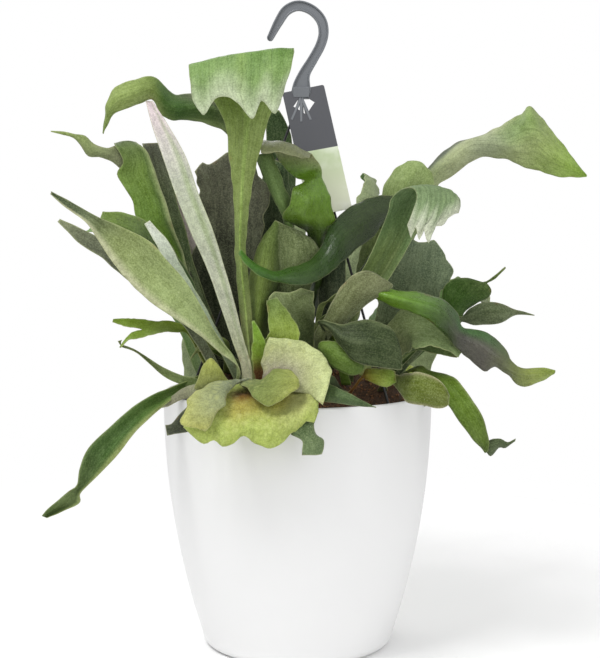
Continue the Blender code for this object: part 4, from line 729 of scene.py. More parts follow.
        root=(-6.2, -4.6, 0.5), kind="felt", slot="leaf_green", pucker=0.3, crinkle=0.5,
        seen=[
            [(200, 385, 9.3), (200, 390, 9.6), (200, 395, 9.4)],
            [(191, 385, 8.6), (190, 391, 9), (189, 397, 8.8)],
            [(181, 389, 7.9), (180, 395, 8.3), (178, 401, 8.1)],
            [(171, 396, 7), (170, 401, 7.3), (168, 406, 7.2)],
            [(163, 403, 6.2), (162, 405, 6.4), (161, 408, 6.3)]],
        upper=[(96, 102, 66), (110, 112, 82), (126, 126, 100), (146, 142, 122)],
    ),
    "thin_left": dict(
        root=(-6.5, -4.5, 0.7), pucker=0.2, crinkle=0.2, bow=-0.3,
        seen=[(199, 388, 197, 379, 6.2), (182, 385, 180, 375, 5.8), (164, 377, 160, 366, 5.4),
              (148, 363, 146, 357, 5), (136, 353, 135, 350, 5), (127, 349, 127, 346.5, 5),
              (121, 347, 120, 344, 5), (117, 341, 121, 340, 5)],
        upper=[(100, 118, 66), (110, 128, 76), (118, 134, 84), (116, 130, 82), (92, 106, 62), (66, 80, 44)],
    ),
    "brown_front": dict(
        root=(2.3, -4.5, 1), kind="felt", pucker=0.4, crinkle=0.6, bow=0.5,
        seen=[(314, 338, 328, 343, 6.6), (324, 318, 338, 332, 7.2), (333, 300, 351, 319, 7.8),
              (342, 286, 366, 305, 8.2), (352, 276, 380, 296, 8.5), (366, 270, 392, 288, 8.6),
              (379, 276, 393, 284, 8.5)],
        upper=[(77, 87, 49), (85, 95, 54), (92, 100, 61), (98, 104, 68), (98, 102, 72)],
        dabs=[(0.7, -1, 0.5, 0.1, (160, 160, 126), 0.5), (0.6, 0.8, 0.3, 0.3, (84, 92, 64), 0.6)],
    ),
    "shield_fold": dict(
        root=(-4.1, -7.4, 1), kind="shield", flip=True, pucker=1.4, crinkle=2.6,
        seen=[
            [(257, 384, 8.6), (255, 382, 8.8), (252, 380, 9), (248, 380, 9.2), (244, 381, 9.4)],
            [(240, 379, 9.8), (236, 380, 10.8), (231, 384, 11.6), (228, 389, 12.2), (227, 393, 12.4)],
            [(226, 380, 11), (221, 384, 12.2), (218, 392, 13.2), (221, 400, 13.8), (227, 403, 13.8)],
            [(211, 383, 12.2), (205, 391, 13.4), (204, 402, 14.2), (209, 411, 14.6), (219, 410, 14.4)],
            [(197, 390, 12.8), (191, 402, 14), (191, 414, 14.8), (199, 422, 15), (214, 420, 14.8)],
            [(192, 396, 13.2), (183, 411, 14.4), (180, 421, 14.9), (188, 428, 15), (204, 431, 15)]],
        upper=[(146, 146, 132), (138, 142, 123), (132, 138, 119), (134, 142, 112), (144, 150, 107),
               (174, 176, 105)],
    ),
    "shield_lip": dict(
        root=(-2.6, -8.2, 0.8), kind="shield", flip=True, pucker=1.2, crinkle=3,
        seen=[
            [(256, 382, 8.8), (251, 382, 9.2), (246, 383, 9.6), (240, 385, 10.2)],
            [(262, 380, 9.8), (258, 382, 10.8), (254, 386, 11.6), (249, 392, 12)],
            [(267, 375, 10.4), (267, 381, 11.8), (264, 389, 12.8), (256, 399, 13.2)],
            [(272, 370, 10.6), (277, 377, 12.2), (276, 389, 13.4), (265, 406, 13.8)],
            [(284, 370, 10.8), (289, 377, 12.4), (288, 388, 13.6), (279, 402, 14)],
            [(294, 374, 11.2), (299, 381, 12.6), (299, 388, 13.6), (290, 398, 14.2)]],
        upper=[(124, 121, 100), (115, 117, 90), (109, 117, 81), (113, 126, 73), (122, 133, 73),
               (146, 153, 83)],
    ),
    "shield_back": dict(
        root=(-1.5, -7.8, 1.4), kind="shield", pucker=1.2, crinkle=2,
        seen=[
            [(262, 378, 8.4), (266, 381, 8.6), (271, 384, 8.9), (276, 388, 9.3), (280, 392, 9.8)],
            [(262, 361, 8.4), (270, 364, 8.8), (280, 370, 9.4), (289, 378, 10.2), (294, 392, 11.2)],
            [(265, 347, 8.6), (278, 348, 9), (293, 355, 9.8), (306, 368, 10.8), (308, 395, 12.2)],
            [(268, 341, 8.7), (285, 341, 9.1), (304, 348, 10), (320, 366, 11.2), (317, 400, 13.1)],
            [(270, 338, 8.7), (288, 338, 9.1), (311, 345, 10), (330, 368, 11.2), (323, 405, 13.5)]],
        upper=[(108, 97, 107), (118, 107, 115), (152, 146, 126), (168, 168, 136), (170, 175, 128),
               (177, 186, 134)],
        under=[(134, 142, 103), (143, 154, 103)],
        dabs=[(0.38, 0, 0.2, 0.6, (122, 106, 108), 0.85)],
    ),
    "shield_spur": dict(  # the pointed piece behind the left flap
        root=(-4.9, -7, 0.8), kind="shield", slot="shield_yellow", pucker=0.8,
        seen=[
            [(196, 391, 10.4), (212, 388, 10.6), (230, 384, 10.2)],
            [(197, 380, 10.8), (211, 378, 11.2), (227, 379, 10.6)],
            [(202, 367, 10.9), (211, 366, 11.3), (222, 371, 10.8)],
            [(207, 360, 10.9), (211, 359, 11), (216, 363, 10.9)]],
        upper=[(96, 92, 58), (112, 116, 72), (124, 130, 78), (150, 156, 84)],
        under=[(150, 160, 100)],
    ),
    "curl_right": dict(
        root=(2.7, -3.4, 1), pucker=0.2, crinkle=0.6, ribs=(0.62, 0.4, 9),
        seen=[
            [(316, 326, 6), (320, 327, 5.4), (325, 328, 5), (330, 329, 5.4), (335, 331, 5.8)],
            [(334, 308, 7), (339, 308, 6.4), (344, 309, 6), (349, 311, 6.2), (354, 314, 6.8)],
            [(354, 284, 7.8), (360, 283, 7), (366, 284, 6.6), (372, 287, 6.8), (379, 292, 7.4)],
            [(372, 251, 8), (379, 250, 7), (387, 251, 6.6), (394, 254, 6.8), (401, 260, 7.4)],
            [(387, 214, 8), (395, 212, 7.2), (404, 214, 6.6), (411, 220, 6.6), (417, 229, 7.2)],
            [(391, 199, 8.2), (400, 196, 7.4), (410, 197, 7), (420, 201, 6.8), (428, 210, 7.2)],
            [(401, 190, 8.6), (411, 188, 8.2), (423, 187, 8), (436, 189, 7.8), (446, 194, 7.6)],
            [(412, 188, 9.4), (423, 186, 9.2), (436, 187, 9.2), (449, 190, 9), (458, 197, 8.6)],
            [(416, 197, 10.3), (429, 199, 10.4), (440, 200, 10.4), (451, 202, 10), (460, 205, 9.4)],
            [(412, 212, 10.7), (421, 214, 10.9), (428, 215, 10.9), (436, 213, 10.9), (444, 211, 10.7),
             (452, 209, 10.4), (459, 210, 10)],
            [(407, 225, 10.7), (411, 238, 10.7), (415, 227, 10.9), (419, 240, 10.9), (423, 228, 11),
             (428, 243, 11), (433, 227, 10.9), (441, 226, 10.7), (450, 216, 10.3), (458, 213, 9.9)]],
        upper=[(100, 118, 70), (112, 130, 78), (114, 132, 80), (112, 130, 76), (110, 128, 76),
               (102, 120, 70), (92, 116, 70), (92, 116, 74), (96, 116, 78), (112, 132, 94), (196, 200, 180)],
        dabs=[(0.3, 0.5, 0.3, 0.07, (152, 166, 112), 0.7), (0.35, 0.8, 0.3, 0.3, (78, 96, 58), 0.6),
              (0.45, 0.1, 0.2, 0.16, (84, 104, 60), 0.5)],
    ),
    "ribbon_s": dict(
        root=(2.6, -1.9, 1), kind="glossy",
        seen=[
            [(343, 300, 1.6), (349, 300, 1.9), (356, 300, 1.6)],
            [(365, 262, 1.8), (373, 258, 2.1), (381, 255, 1.8)],
            [(380, 234, 2.2), (389, 226, 2.4), (398, 216, 2)],
            [(379, 228, 3.4), (387, 212, 3.2), (394, 196, 2.6)],
            [(372, 237, 4.2), (370, 217, 4.2), (366, 199, 3.4)],
            [(358, 248, 5), (350, 229, 5.4), (343, 212, 4.4)],
            [(345, 259, 6), (337, 242, 6.4), (329, 227, 5.4)],
            [(332, 271.5, 7.2), (325, 260, 7.2), (320, 249, 6.2)],
            [(315, 282.5, 8.2), (310, 272, 8.2), (305, 262, 7.2)],
            [(297, 285.5, 9), (293, 276, 9), (290, 266, 8)],
            [(278, 282.5, 9.4), (277, 277, 9.5), (277, 271, 8.6)],
            [(260, 276, 9.8), (262, 272, 9.8), (265, 269, 9)],
            [(247, 266, 9.8), (249, 262, 9.7), (252, 260, 9.2)],
            [(238, 254, 9.4), (239, 251, 9.4), (241, 248, 9.2)]],
        # the greyer, paler colours on the rise from the root are a painted sheen
        upper=[(54, 70, 35), (58, 76, 40), (75, 86, 59), (67, 81, 50), (54, 74, 40), (49, 64, 32),
               (45, 60, 28), (45, 62, 27), (37, 61, 18), (35, 60, 14), (41, 69, 16), (48, 86, 19),
               (61, 104, 25)],
        under=[(71, 92, 42)],
    ),
    "glossy_right": dict(
        root=(3.9, -3.9, 0.8), kind="glossy", pucker=0.3,
        seen=[
            [(330, 318, 6.2), (332, 321, 6.4), (335, 324, 6.2)],
            [(342, 298, 6.8), (344, 302, 7), (347, 306, 6.8)],
            [(353, 287, 7.2), (355, 291, 7.4), (357, 296, 7.2)],
            [(368, 285, 7.6), (368, 290, 8), (368, 295, 7.6)],
            [(388, 288, 7.8), (386, 295, 9), (383, 302, 8.2)],
            [(406, 291, 7.8), (402, 299, 9.2), (397, 307, 8.4)],
            [(423, 294, 7.8), (418, 303, 9.2), (411, 312, 8.4)],
            [(442, 299, 7.8), (436, 309, 9), (427, 319, 8.2)],
            [(456, 311, 7.6), (448, 320, 8.6), (438, 330, 7.8)],
            [(463, 326, 7.2), (456, 333, 7.8), (449, 337, 7.2)],
            [(472, 329, 6.6), (465, 339, 7.2), (457, 348, 6.8)],
            [(488, 333, 6.4), (480, 345, 7.2), (470, 359, 6.6)],
            [(505, 347, 6.4), (496, 356, 7.2), (486, 371, 6.6)],
            [(513, 361, 6.4), (505, 365, 6.9), (496, 367, 6.6)],
            [(521, 367, 6.4), (515, 372, 6.9), (508, 374, 6.6)],
            [(534, 368, 6.2), (529, 376, 6.8), (520, 385, 6.4)],
            [(548, 368, 6), (545, 374, 6.4), (537, 384, 6.2)],
            [(557, 370, 5.8), (557, 372, 5.8), (556, 374, 5.8)]],
        upper=[(97, 122, 54), (98, 125, 51), (98, 128, 50), (100, 132, 50), (103, 137, 51), (103, 137, 51),
               (97, 130, 50), (80, 111, 44), (53, 72, 35), (67, 66, 58), (75, 72, 64), (84, 90, 58),
               (122, 133, 67), (124, 143, 59)],
        under=[(90, 99, 63)],
        dabs=[(0.72, -0.8, 0.1, 0.5, (54, 96, 40), 0.8)],
    ),
    "centre_green": dict(
        root=(-2.4, -2.2, 1),
        seen=[
            [(252, 352, 5), (258, 354, 5.6), (266, 356, 5)],
            [(248, 325, 5.4), (257, 327, 6.4), (267, 330, 5.4)],
            [(248, 300, 5.6), (260, 300, 6.8), (274, 300, 5.6)],
            [(250, 274, 5.8), (264, 275, 6.9), (281, 280, 5.6)],
            [(255, 256, 5.8), (267, 256, 6.6), (282, 258, 5.6)],
            [(262, 238, 5.8), (270, 238, 6.3), (280, 240, 5.8)],
            [(275, 219, 5.8), (277, 221, 5.9), (280, 224, 5.8)]],
        upper=[(143, 148, 81), (124, 136, 71), (103, 121, 57), (95, 112, 52), (89, 108, 52)],
        under=[(141, 140, 92)],
        dabs=[(0.6, 0.8, 0.5, 0.5, (52, 66, 40), 0.7)],
    ),
    "olive_mid": dict(
        root=(0.2, 1.2, 1), kind="felt", pucker=0.6,
        seen=[
            [(282, 332, 4), (292, 332, 4.5), (301, 332, 4)], [(278, 300, 5), (293, 300, 5.7), (309, 298, 5)],
            [(277, 270, 5.6), (295, 270, 6.4), (317, 264, 5.6)],
            [(276, 245, 5.8), (295, 249, 6.5), (321, 254, 5.6)],
            [(276, 230, 5.8), (294, 236, 6.4), (316, 244, 5.7)],
            [(275, 220, 5.8), (288, 226, 6.1), (303, 231, 5.8)]],
        upper=[(46, 57, 32), (62, 75, 42), (76, 90, 53), (83, 96, 57), (85, 96, 59)],
        under=[(78, 90, 56)],
    ),
    "top_fold": dict(
        root=(-0.2, 2.4, 1), kind="glossy",
        seen=[
            [(308, 300, 1), (314, 300, 1.6), (320, 300, 1)], [(311, 262, 3), (318, 262, 3.8), (326, 260, 3)],
            [(308, 234, 4.6), (320, 232, 5.4), (334, 228, 4.6)],
            [(283, 218, 6.2), (306, 217, 6.9), (332, 208, 5)],
            [(290, 204, 7), (309, 199, 7.3), (329, 192, 5.4)],
            [(293, 189, 6.8), (307, 186, 6.6), (323, 180, 5.2)],
            [(304, 181, 5.4), (313, 177, 5.2), (322, 172, 4.8)],
            [(292, 176, 4.4), (305, 170, 4.6), (320, 166, 4.6)],
            [(278, 158, 4.6), (296, 158, 5), (316, 160, 4.8)],
            [(265, 141, 5.4), (288, 143, 5.8), (311, 154, 5.4)],
            [(261, 145, 6.4), (284, 148, 6.7), (308, 157, 6.2)],
            [(262, 152, 6.8), (281, 153, 7), (302, 159, 6.6)]],
        upper=[(44, 55, 32), (46, 60, 34), (50, 63, 34), (56, 75, 38), (64, 84, 41), (74, 96, 43),
               (66, 86, 39), (87, 115, 38), (95, 128, 44), (92, 125, 44), (128, 130, 95), (154, 146, 119)],
        under=[(120, 125, 90)],
    ),
    "olive_band": dict(
        root=(-0.6, -3, 0.6), slot="leaf_green", pucker=0.3,
        seen=[
            [(288, 256, 5), (291, 256, 5.2), (294, 256, 5)],
            [(283, 220, 5.4), (287, 215, 5.9), (292, 207, 5.4)],
            [(272, 196, 5.4), (278, 193, 6), (285, 188, 5.4)],
            [(262, 174, 5.2), (269, 171, 5.8), (278, 168, 5.2)],
            [(256, 156, 5), (263, 153, 5.4), (271, 152, 5)]],
        upper=[(76, 98, 48), (88, 114, 56), (92, 118, 60), (96, 118, 70)],
        under=[(90, 100, 70)],
    ),
    "arch_left": dict(
        root=(-1.4, 3.4, 1),
        seen=[
            [(262, 300, -2), (266, 300, -1.8), (270, 300, -2)],
            [(252, 235, -0.4), (257, 235, 0), (263, 235, -0.4)],
            [(240, 172, 0.8), (248, 168, 1.4), (257, 164, 0.8)],
            [(229, 136, 1.6), (237, 124, 2.2), (246, 112, 1.6)],
            [(206, 123, 2.4), (213, 110, 3.2), (222, 97, 2.2)],
            [(183, 120.5, 3.4), (188, 109, 4.1), (195, 94, 2.8)],
            [(169, 118, 4.2), (172, 107, 4.8), (177, 94, 3.6)],
            [(160, 111, 4.8), (163, 98, 5.3), (165, 85, 4.4)],
            [(153, 99, 5.2), (153, 88, 5.7), (155, 76, 5)],
            [(140, 104, 5.4), (138, 92, 6.1), (137, 79, 5.4)],
            [(125, 109, 5.6), (120, 98, 6.3), (117, 88, 5.6)],
            [(113, 118, 5.8), (110, 111, 6.2), (108, 104, 5.8)],
            [(105, 134, 5.8), (104.5, 134, 5.8), (104, 133, 5.8)]],
        upper=[(78, 89, 54), (71, 85, 49), (67, 78, 51), (67, 78, 51), (71, 83, 54), (75, 87, 56),
               (78, 89, 58), (83, 91, 62), (75, 98, 49), (58, 91, 36), (120, 138, 75), (131, 148, 85),
               (123, 144, 81)],
        under=[(123, 136, 90), (142, 159, 97)],
        dabs=[(0.65, 0.9, 0.09, 0.7, (92, 88, 78), 0.85), (0.64, -1, 0.09, 0.35, (140, 158, 100), 0.7),
              (0.78, 0.2, 0.03, 0.9, (58, 94, 34), 0.8), (0.86, -0.9, 0.06, 0.4, (150, 164, 108), 0.6)],
    ),
    "back_right": dict(
        root=(3.4, 4.4, 1),
        seen=[
            [(352, 300, -2.4), (356, 300, -2.1), (360, 300, -2.1), (364, 300, -2.4)],
            [(392, 245, -1.8), (397, 245, -1.4), (402, 246, -1.4), (407, 248, -1.8)],
            [(410, 208, -1.2), (415, 209, -0.7), (420, 211, -0.7), (426, 214, -1)],
            [(425, 171, -0.6), (429, 178, 0.4), (432, 183, 0.4), (435, 189, 0)],
            [(440, 154, -0.6), (446, 160, 0.8), (451, 166, 0.8), (457, 172, 0.4)],
            [(456, 143, -0.4), (466, 143, 1.2), (472, 150, 1.4), (479, 158, 0.8)],
            [(478, 136, 0.4), (485, 137, 1.7), (491, 146, 2), (500, 158, 1.4)],
            [(500, 125, 1.6), (504, 133, 2.4), (510, 146, 2.9), (516, 164, 2)],
            [(520, 114, 1.8), (519, 129, 2.9), (521, 147, 3), (527, 168, 2.1)],
            [(527, 106.5, 2.2), (526, 127, 3.4), (529, 148, 3), (535, 170, 2.2)],
            [(535, 113, 1.8), (535, 130, 3.4), (537, 150, 3.1), (540, 171, 2.2)],
            [(547, 127, 1.6), (549, 141, 2.8), (549, 158, 3.2), (551, 176, 2)],
            [(566, 151, 1.6), (567, 160, 2.2), (567, 168, 2.4), (568, 177, 1.8)],
            [(585, 174, 1.6), (585.5, 175, 1.7), (585.5, 176, 1.7), (585, 177, 1.6)]],
        upper=[(102, 118, 77), (110, 126, 81), (110, 126, 81), (110, 126, 84), (119, 133, 90),
               (131, 145, 101), (151, 159, 121), (157, 163, 128), (146, 157, 110), (136, 157, 86),
               (129, 161, 66)],
        under=[(85, 98, 70), (68, 82, 57)],
        dabs=[(0.57, -0.85, 0.09, 0.4, (48, 60, 42), 0.95), (0.78, -0.5, 0.06, 0.6, (96, 130, 58), 0.6),
              (0.72, 0.2, 0.06, 0.8, (140, 150, 124), 0.6)],
    ),
    "back_bulge": dict(  # the rounded blade between the curled frond and the long one
        root=(4.2, 2, 0.9), kind="felt", slot="leaf_green",
        seen=[
            [(352, 290, -0.4), (357, 290, 0), (362, 290, -0.4)],
            [(366, 236, 0.6), (378, 238, 1.4), (391, 242, 0.6)],
            [(379, 201, 1), (397, 205, 2.2), (417, 212, 1)],
            [(385, 182, 1.2), (405, 184, 2.4), (426, 196, 1.2)],
            [(396, 168, 1.4), (413, 170, 2.3), (433, 186, 1.4)],
            [(407, 161, 1.6), (419, 162, 1.8), (431, 172, 1.6)]],
        upper=[(96, 112, 66), (112, 128, 80), (118, 134, 82), (126, 144, 90)],
        under=[(90, 104, 70)],
    ),
    # dark leaves behind the middle fronds; their near-black colours are partly leaf colour and partly painted
    # shade
    "dark_centre": dict(
        root=(-1.6, -0.4, 0.9), kind="felt", slot="leaf_dark", pucker=0.8,
        seen=[
            [(262, 330, 1.8), (278, 330, 2.4), (294, 330, 1.8)],
            [(256, 262, 1.8), (274, 262, 2.6), (294, 262, 1.8)],
            [(258, 205, 1.8), (274, 200, 2.6), (292, 206, 1.8)],
            [(264, 168, 1.8), (275, 160, 2), (288, 170, 1.8)]],
        upper=[(34, 40, 28), (40, 50, 34), (48, 62, 40), (54, 76, 44)],
        under=[(60, 72, 50)],
    ),
    # a dark leaf behind the middle fronds; its near-black colours are partly leaf colour and partly painted
    # shade
    "dark_mid": dict(
        root=(1.4, -0.6, 0.8), kind="felt", slot="leaf_dark", pucker=0.8,
        seen=[
            [(316, 332, 2.2), (329, 332, 2.8), (342, 332, 2.2)],
            [(320, 282, 2.2), (332, 282, 2.8), (345, 284, 2.2)],
            [(326, 246, 2.2), (335, 243, 2.6), (345, 248, 2.2)],
            [(331, 224, 2.2), (335, 219, 2.3), (340, 224, 2.2)]],
        upper=[(34, 40, 28), (38, 48, 32), (44, 58, 38), (50, 70, 42)],
        under=[(60, 72, 50)],
    ),
    "rear_shield": dict(
        root=(4.9, 6.3, 1.4), kind="shield", flip=True, pucker=0.8,
        rows=[
            [(3.7, 8.6, 22.4), (4.7, 8.7, 22.7), (5.8, 8.6, 22.8), (6.9, 8.4, 22.7), (7.9, 8, 22.4)],
            [(3.1, 11, 22), (4.8, 11.3, 22.7), (6.6, 11.2, 22.9), (8.4, 10.7, 22.6), (10.1, 9.8, 21.9)],
            [(2.9, 12.6, 20.6), (5, 13.3, 21.7), (7.2, 13.2, 21.9), (9.4, 12.5, 21.5), (11.3, 11.2, 20.4)],
            [(3.3, 13.2, 19), (5.2, 14, 20), (7.5, 14, 20.1), (9.9, 13.2, 19.8), (11.5, 11.8, 18.8)],
            [(3.9, 13.3, 18), (5.4, 14.2, 18.4), (7.5, 14.2, 18.2), (9.7, 13.4, 18.2), (11.1, 12, 17.8)]],
        upper=[(128, 110, 70), (150, 150, 84), (160, 172, 88), (170, 184, 96), (182, 196, 108)],
        under=[(150, 160, 100), (160, 172, 100)],
    ),
}


# Blades: the same rules as the solids, drawn finer
blade = dict(
    railStep=2 * mm, bendPull=1.2, lightPull=25, seat=0.7 * mm, stalk=2.6 * mm, stalkLength=50 * mm,
    thick=0.9 * mm, marginThick=0.4, marginReach=1.2 * mm, rowStep=2.6 * mm, columnsPerStrip=7,
    sheetStep=2.6 * mm, sectionSteps=60, endsFrom=0.7, opensBy=0.15, wave=(0.06, 3), wavesFrom=14 * mm,
    phase=1.7, skew=1.5, fewestRows=10, dabEdge=1.5,
    softSteps=161, softSpan=15, lobeOpensBy=0.3, lobeCalm=0.6, lobeEase=0.35, stalkWidth=8 * mm,
    wobble=((0.05, 5.3, 1, 2.1), (0.03, 11.7, 2, 1)),  # height, waves, shift and split between the sides
)


def rail(stations):
    # a smooth line through the stations; each sample is a point and its half width, in metres
    points = [Vector(station) * cm for station in stations]
    points = [2 * points[0] - points[1]] + points + [2 * points[-1] - points[-2]]
    samples = []
    for before, first, second, after in zip(points, points[1:], points[2:], points[3:]):
        count = max(2, round((second - first).length / blade["railStep"]))
        for step in range(count):
            samples.append(catmull(before, first, second, after, step / count))
    samples.append(points[-2])
    return [(Vector(sample[:3]), max(sample[3] / 2, mm)) for sample in samples]


def catmull(before, first, second, after, u):
    return 0.5 * (2 * first + (second - before) * u + (2 * before - 5 * first + 4 * second - after) * u * u
                  + (3 * first - before - 3 * second + after) * u ** 3)


def toward(across, pull):
    return across + pull * (1 if pull.dot(across) >= 0 else -1)


def frames(samples, spec, across=None):
    # carries the blade's width along the line; it turns to the bends' axis and to the light
    rows = []
    before = None
    look = Vector(spec.get("look", (0, -1, 0.3)))
    for index, (point, half) in enumerate(samples):
        ahead = samples[min(index + 1, len(samples) - 1)][0]
        behind = samples[max(index - 1, 0)][0]
        along = (ahead - behind).normalized()
        if across is None:
            across = along.cross(Vector(spec["face"]))
        if before is not None:
            across = toward(across, blade["bendPull"] * before.cross(along))
            across = toward(across, blade["lightPull"] * (point - behind).length * along.cross(look))
        across = (across - along * across.dot(along)).normalized()
        before = along
        rows.append((point, along, across, half))
    return rows


def lineAt(values, share):
    # a soft curve through evenly spaced values, read at shares from 0 to 1
    spread = np.linspace(0, 1, blade["softSteps"])
    kernel = np.hanning(blade["softSpan"])
    line = np.interp(spread, np.linspace(0, 1, len(values)), values)
    soft = np.convolve(np.pad(line, blade["softSpan"] // 2, mode="edge"), kernel / kernel.sum(), mode="valid")
    return np.interp(share, spread, soft)


def crossSection(places, cup):
    # a unit blade's points for places from -1 to 1; it slopes by cup, more and more, towards the margins
    fine = blade["sectionSteps"]
    slope = np.radians(cup * (np.arange(fine) + 0.5) / fine)
    spot = np.abs(places) * fine
    low = np.minimum(spot.astype(int), fine - 1)
    part = spot - low
    lines = [np.pad(np.cumsum(run), (1, 0)) / fine for run in (np.cos(slope), np.sin(slope))]
    x, z = [line[low] * (1 - part) + line[low + 1] * part for line in lines]
    return np.sign(places) * x, z


def unit(vectors):
    return vectors / np.maximum(np.linalg.norm(vectors, axis=-1, keepdims=True), 1e-12)


def bladeGrid(rows, places, spec, ends, seed, opensBy, calm=1.0):
    # points over the blade's middle surface, its columns running from root to tip
    path, along, across = [np.array([[*row[part]] for row in rows]) for part in range(3)]
    half = np.array([row[3] for row in rows])
    steps = np.linalg.norm(np.diff(path, axis=0), axis=1)
    length = steps.sum()
    stations = np.concatenate([[0], np.cumsum(steps)]) / length
    count = max(blade["fewestRows"], round(length / blade["rowStep"]))
    level = np.linspace(0, 1, count + 1)[:, None]
    stop = lineAt(ends, (places + 1) / 2) if ends else np.ones(len(places))
    share = level * stop[None, :]
    if ends:  # cut only near the tip, so rows lower down stay level
        cut = blade["endsFrom"]
        share = np.where(level < cut, level, cut + (level - cut) * (stop[None, :] - cut) / (1 - cut))

    def read(table):
        return np.stack([np.interp(share, stations, table[:, axis]) for axis in range(3)], axis=-1)

    point, forward, side = read(path), unit(read(along)), unit(read(across))
    up = unit(np.cross(side, forward))
    t = np.broadcast_to(places[None, :], share.shape)
    width = np.interp(share, stations, half)
    x, z = crossSection(places, spec["cup"])
    opened = np.minimum(1, share / opensBy)
    height, waves = spec.get("wave", blade["wave"])
    phase = seed * blade["phase"]
    ripple = height * cm * t ** 2 * np.sin(2 * math.pi * waves * share + blade["skew"] * t + phase) * opened
    ripple = ripple * np.minimum(1, width / blade["wavesFrom"]) * calm
    wobble = np.ones(share.shape)
    for high, often, shift, split in blade["wobble"]:
        turns = 2 * math.pi * share * often + shift * phase + split * np.sign(t)
        wobble = wobble + high * np.sin(turns) * opened
    surface = point + side * (x * width * wobble)[..., None] + up * (z * width + ripple)[..., None]
    return dict(surface=surface, share=share, width=width, t=t, along=share * length, length=length)


def seatRoot(spec, ground):
    # sets the root just above the rhizome, clear at every corner of the stalk's end
    x, y, width = spec["root"]
    start = Vector((x * cm, y * cm, ground(x * cm, y * cm)))
    along = (Vector(spec["path"][0][:3]) * cm - start).normalized()
    across = along.cross(Vector(spec["face"])).normalized()
    up = across.cross(along)
    lift = 0.0
    for side in (-1, -0.5, 0, 0.5, 1):
        for face in (-1, 0, 1):
            corner = start + across * width / 2 * cm * side + up * blade["stalk"] / 2 * face
            lift = max(lift, ground(corner.x, corner.y) - corner.z)
    return (x, y, (start.z + lift + blade["seat"]) / cm, width)


def paint(spec, share, t, under):
    # colours along the blade, then dabs of (share, side, reach in share, reach in side, colour, strength)
    stops = spec.get("under", spec["upper"]) if under else spec["upper"]
    knots = np.linspace(0, 1, len(stops))
    bands = np.array([linear(stop)[:3] for stop in stops])
    tint = np.stack([np.interp(share, knots, bands[:, band]) for band in range(3)], axis=-1)
    for dabShare, dabSide, reachShare, reachSide, colour, strength in spec.get("dabs", []):
        away = ((share - dabShare) / reachShare) ** 2 + ((t - dabSide) / reachSide) ** 2
        weight = (np.exp(-away ** blade["dabEdge"]) * strength)[:, None]
        tint = tint * (1 - weight) + np.array(linear(colour)[:3]) * weight
    return tint


def leafSolid(name, spec, points, quads, share, t, width, along, margin, stalk):
    # gives the middle surface its thickness, its paint and its lanes
    corners = points[quads]
    faceNormal = np.cross(corners[:, 2] - corners[:, 0], corners[:, 3] - corners[:, 1])
    normal = np.zeros_like(points)
    for corner in range(4):
        np.add.at(normal, quads[:, corner], faceNormal)
    normal = unit(normal)
    thick = blade["thick"] + (blade["stalk"] - blade["thick"]) * stalk
    thick = thick * (1 - (1 - blade["marginThick"]) * np.exp(-margin / blade["marginReach"]) * (1 - stalk))
    top = points + normal * thick[:, None] / 2
    bottom = points - normal * thick[:, None] / 2
    # the rim runs round the edges that only one face uses
    edges = np.concatenate([quads[:, [a, b]] for a, b in ((0, 1), (1, 2), (2, 3), (3, 0))])
    unique, inverse, counts = np.unique(np.sort(edges, axis=1), axis=0, return_inverse=True, return_counts=True)
    rim = edges[counts[inverse.ravel()] == 1]
    size = len(points)
    walls = np.stack([rim[:, 1], rim[:, 0], rim[:, 0] + size, rim[:, 1] + size], axis=-1)
    faces = np.concatenate([quads, quads[:, ::-1] + size, walls])
    mesh = bpy.data.meshes.new(name + "Leaf")
    mesh.from_pydata(np.concatenate([top, bottom]).tolist(), [], faces.tolist())
    mesh.shade_smooth()
    lane = np.stack([t * width, along, margin], axis=-1)
    spot = np.stack([share, t, np.zeros_like(t)], axis=-1)
    for label, values in (("lane", np.concatenate([lane, lane])),
                          ("spot", np.concatenate([spot, spot + np.array([0, 0, 1.0])]))):
        layer = mesh.attributes.new(label, "FLOAT_VECTOR", "POINT")
        layer.data.foreach_set("vector", values.astype(np.float32).ravel())
    tint = np.concatenate([paint(spec, share, t, under) for under in (False, True)])
    layer = mesh.attributes.new("tint", "FLOAT_COLOR", "POINT")
    tint = np.pad(tint, ((0, 0), (0, 1)), constant_values=1)
    layer.data.foreach_set("color", tint.astype(np.float32).ravel())
    mesh.materials.append(skinMaterials[spec.get("kind", "fresh")])
    return addObject(name + "Leaf", mesh)


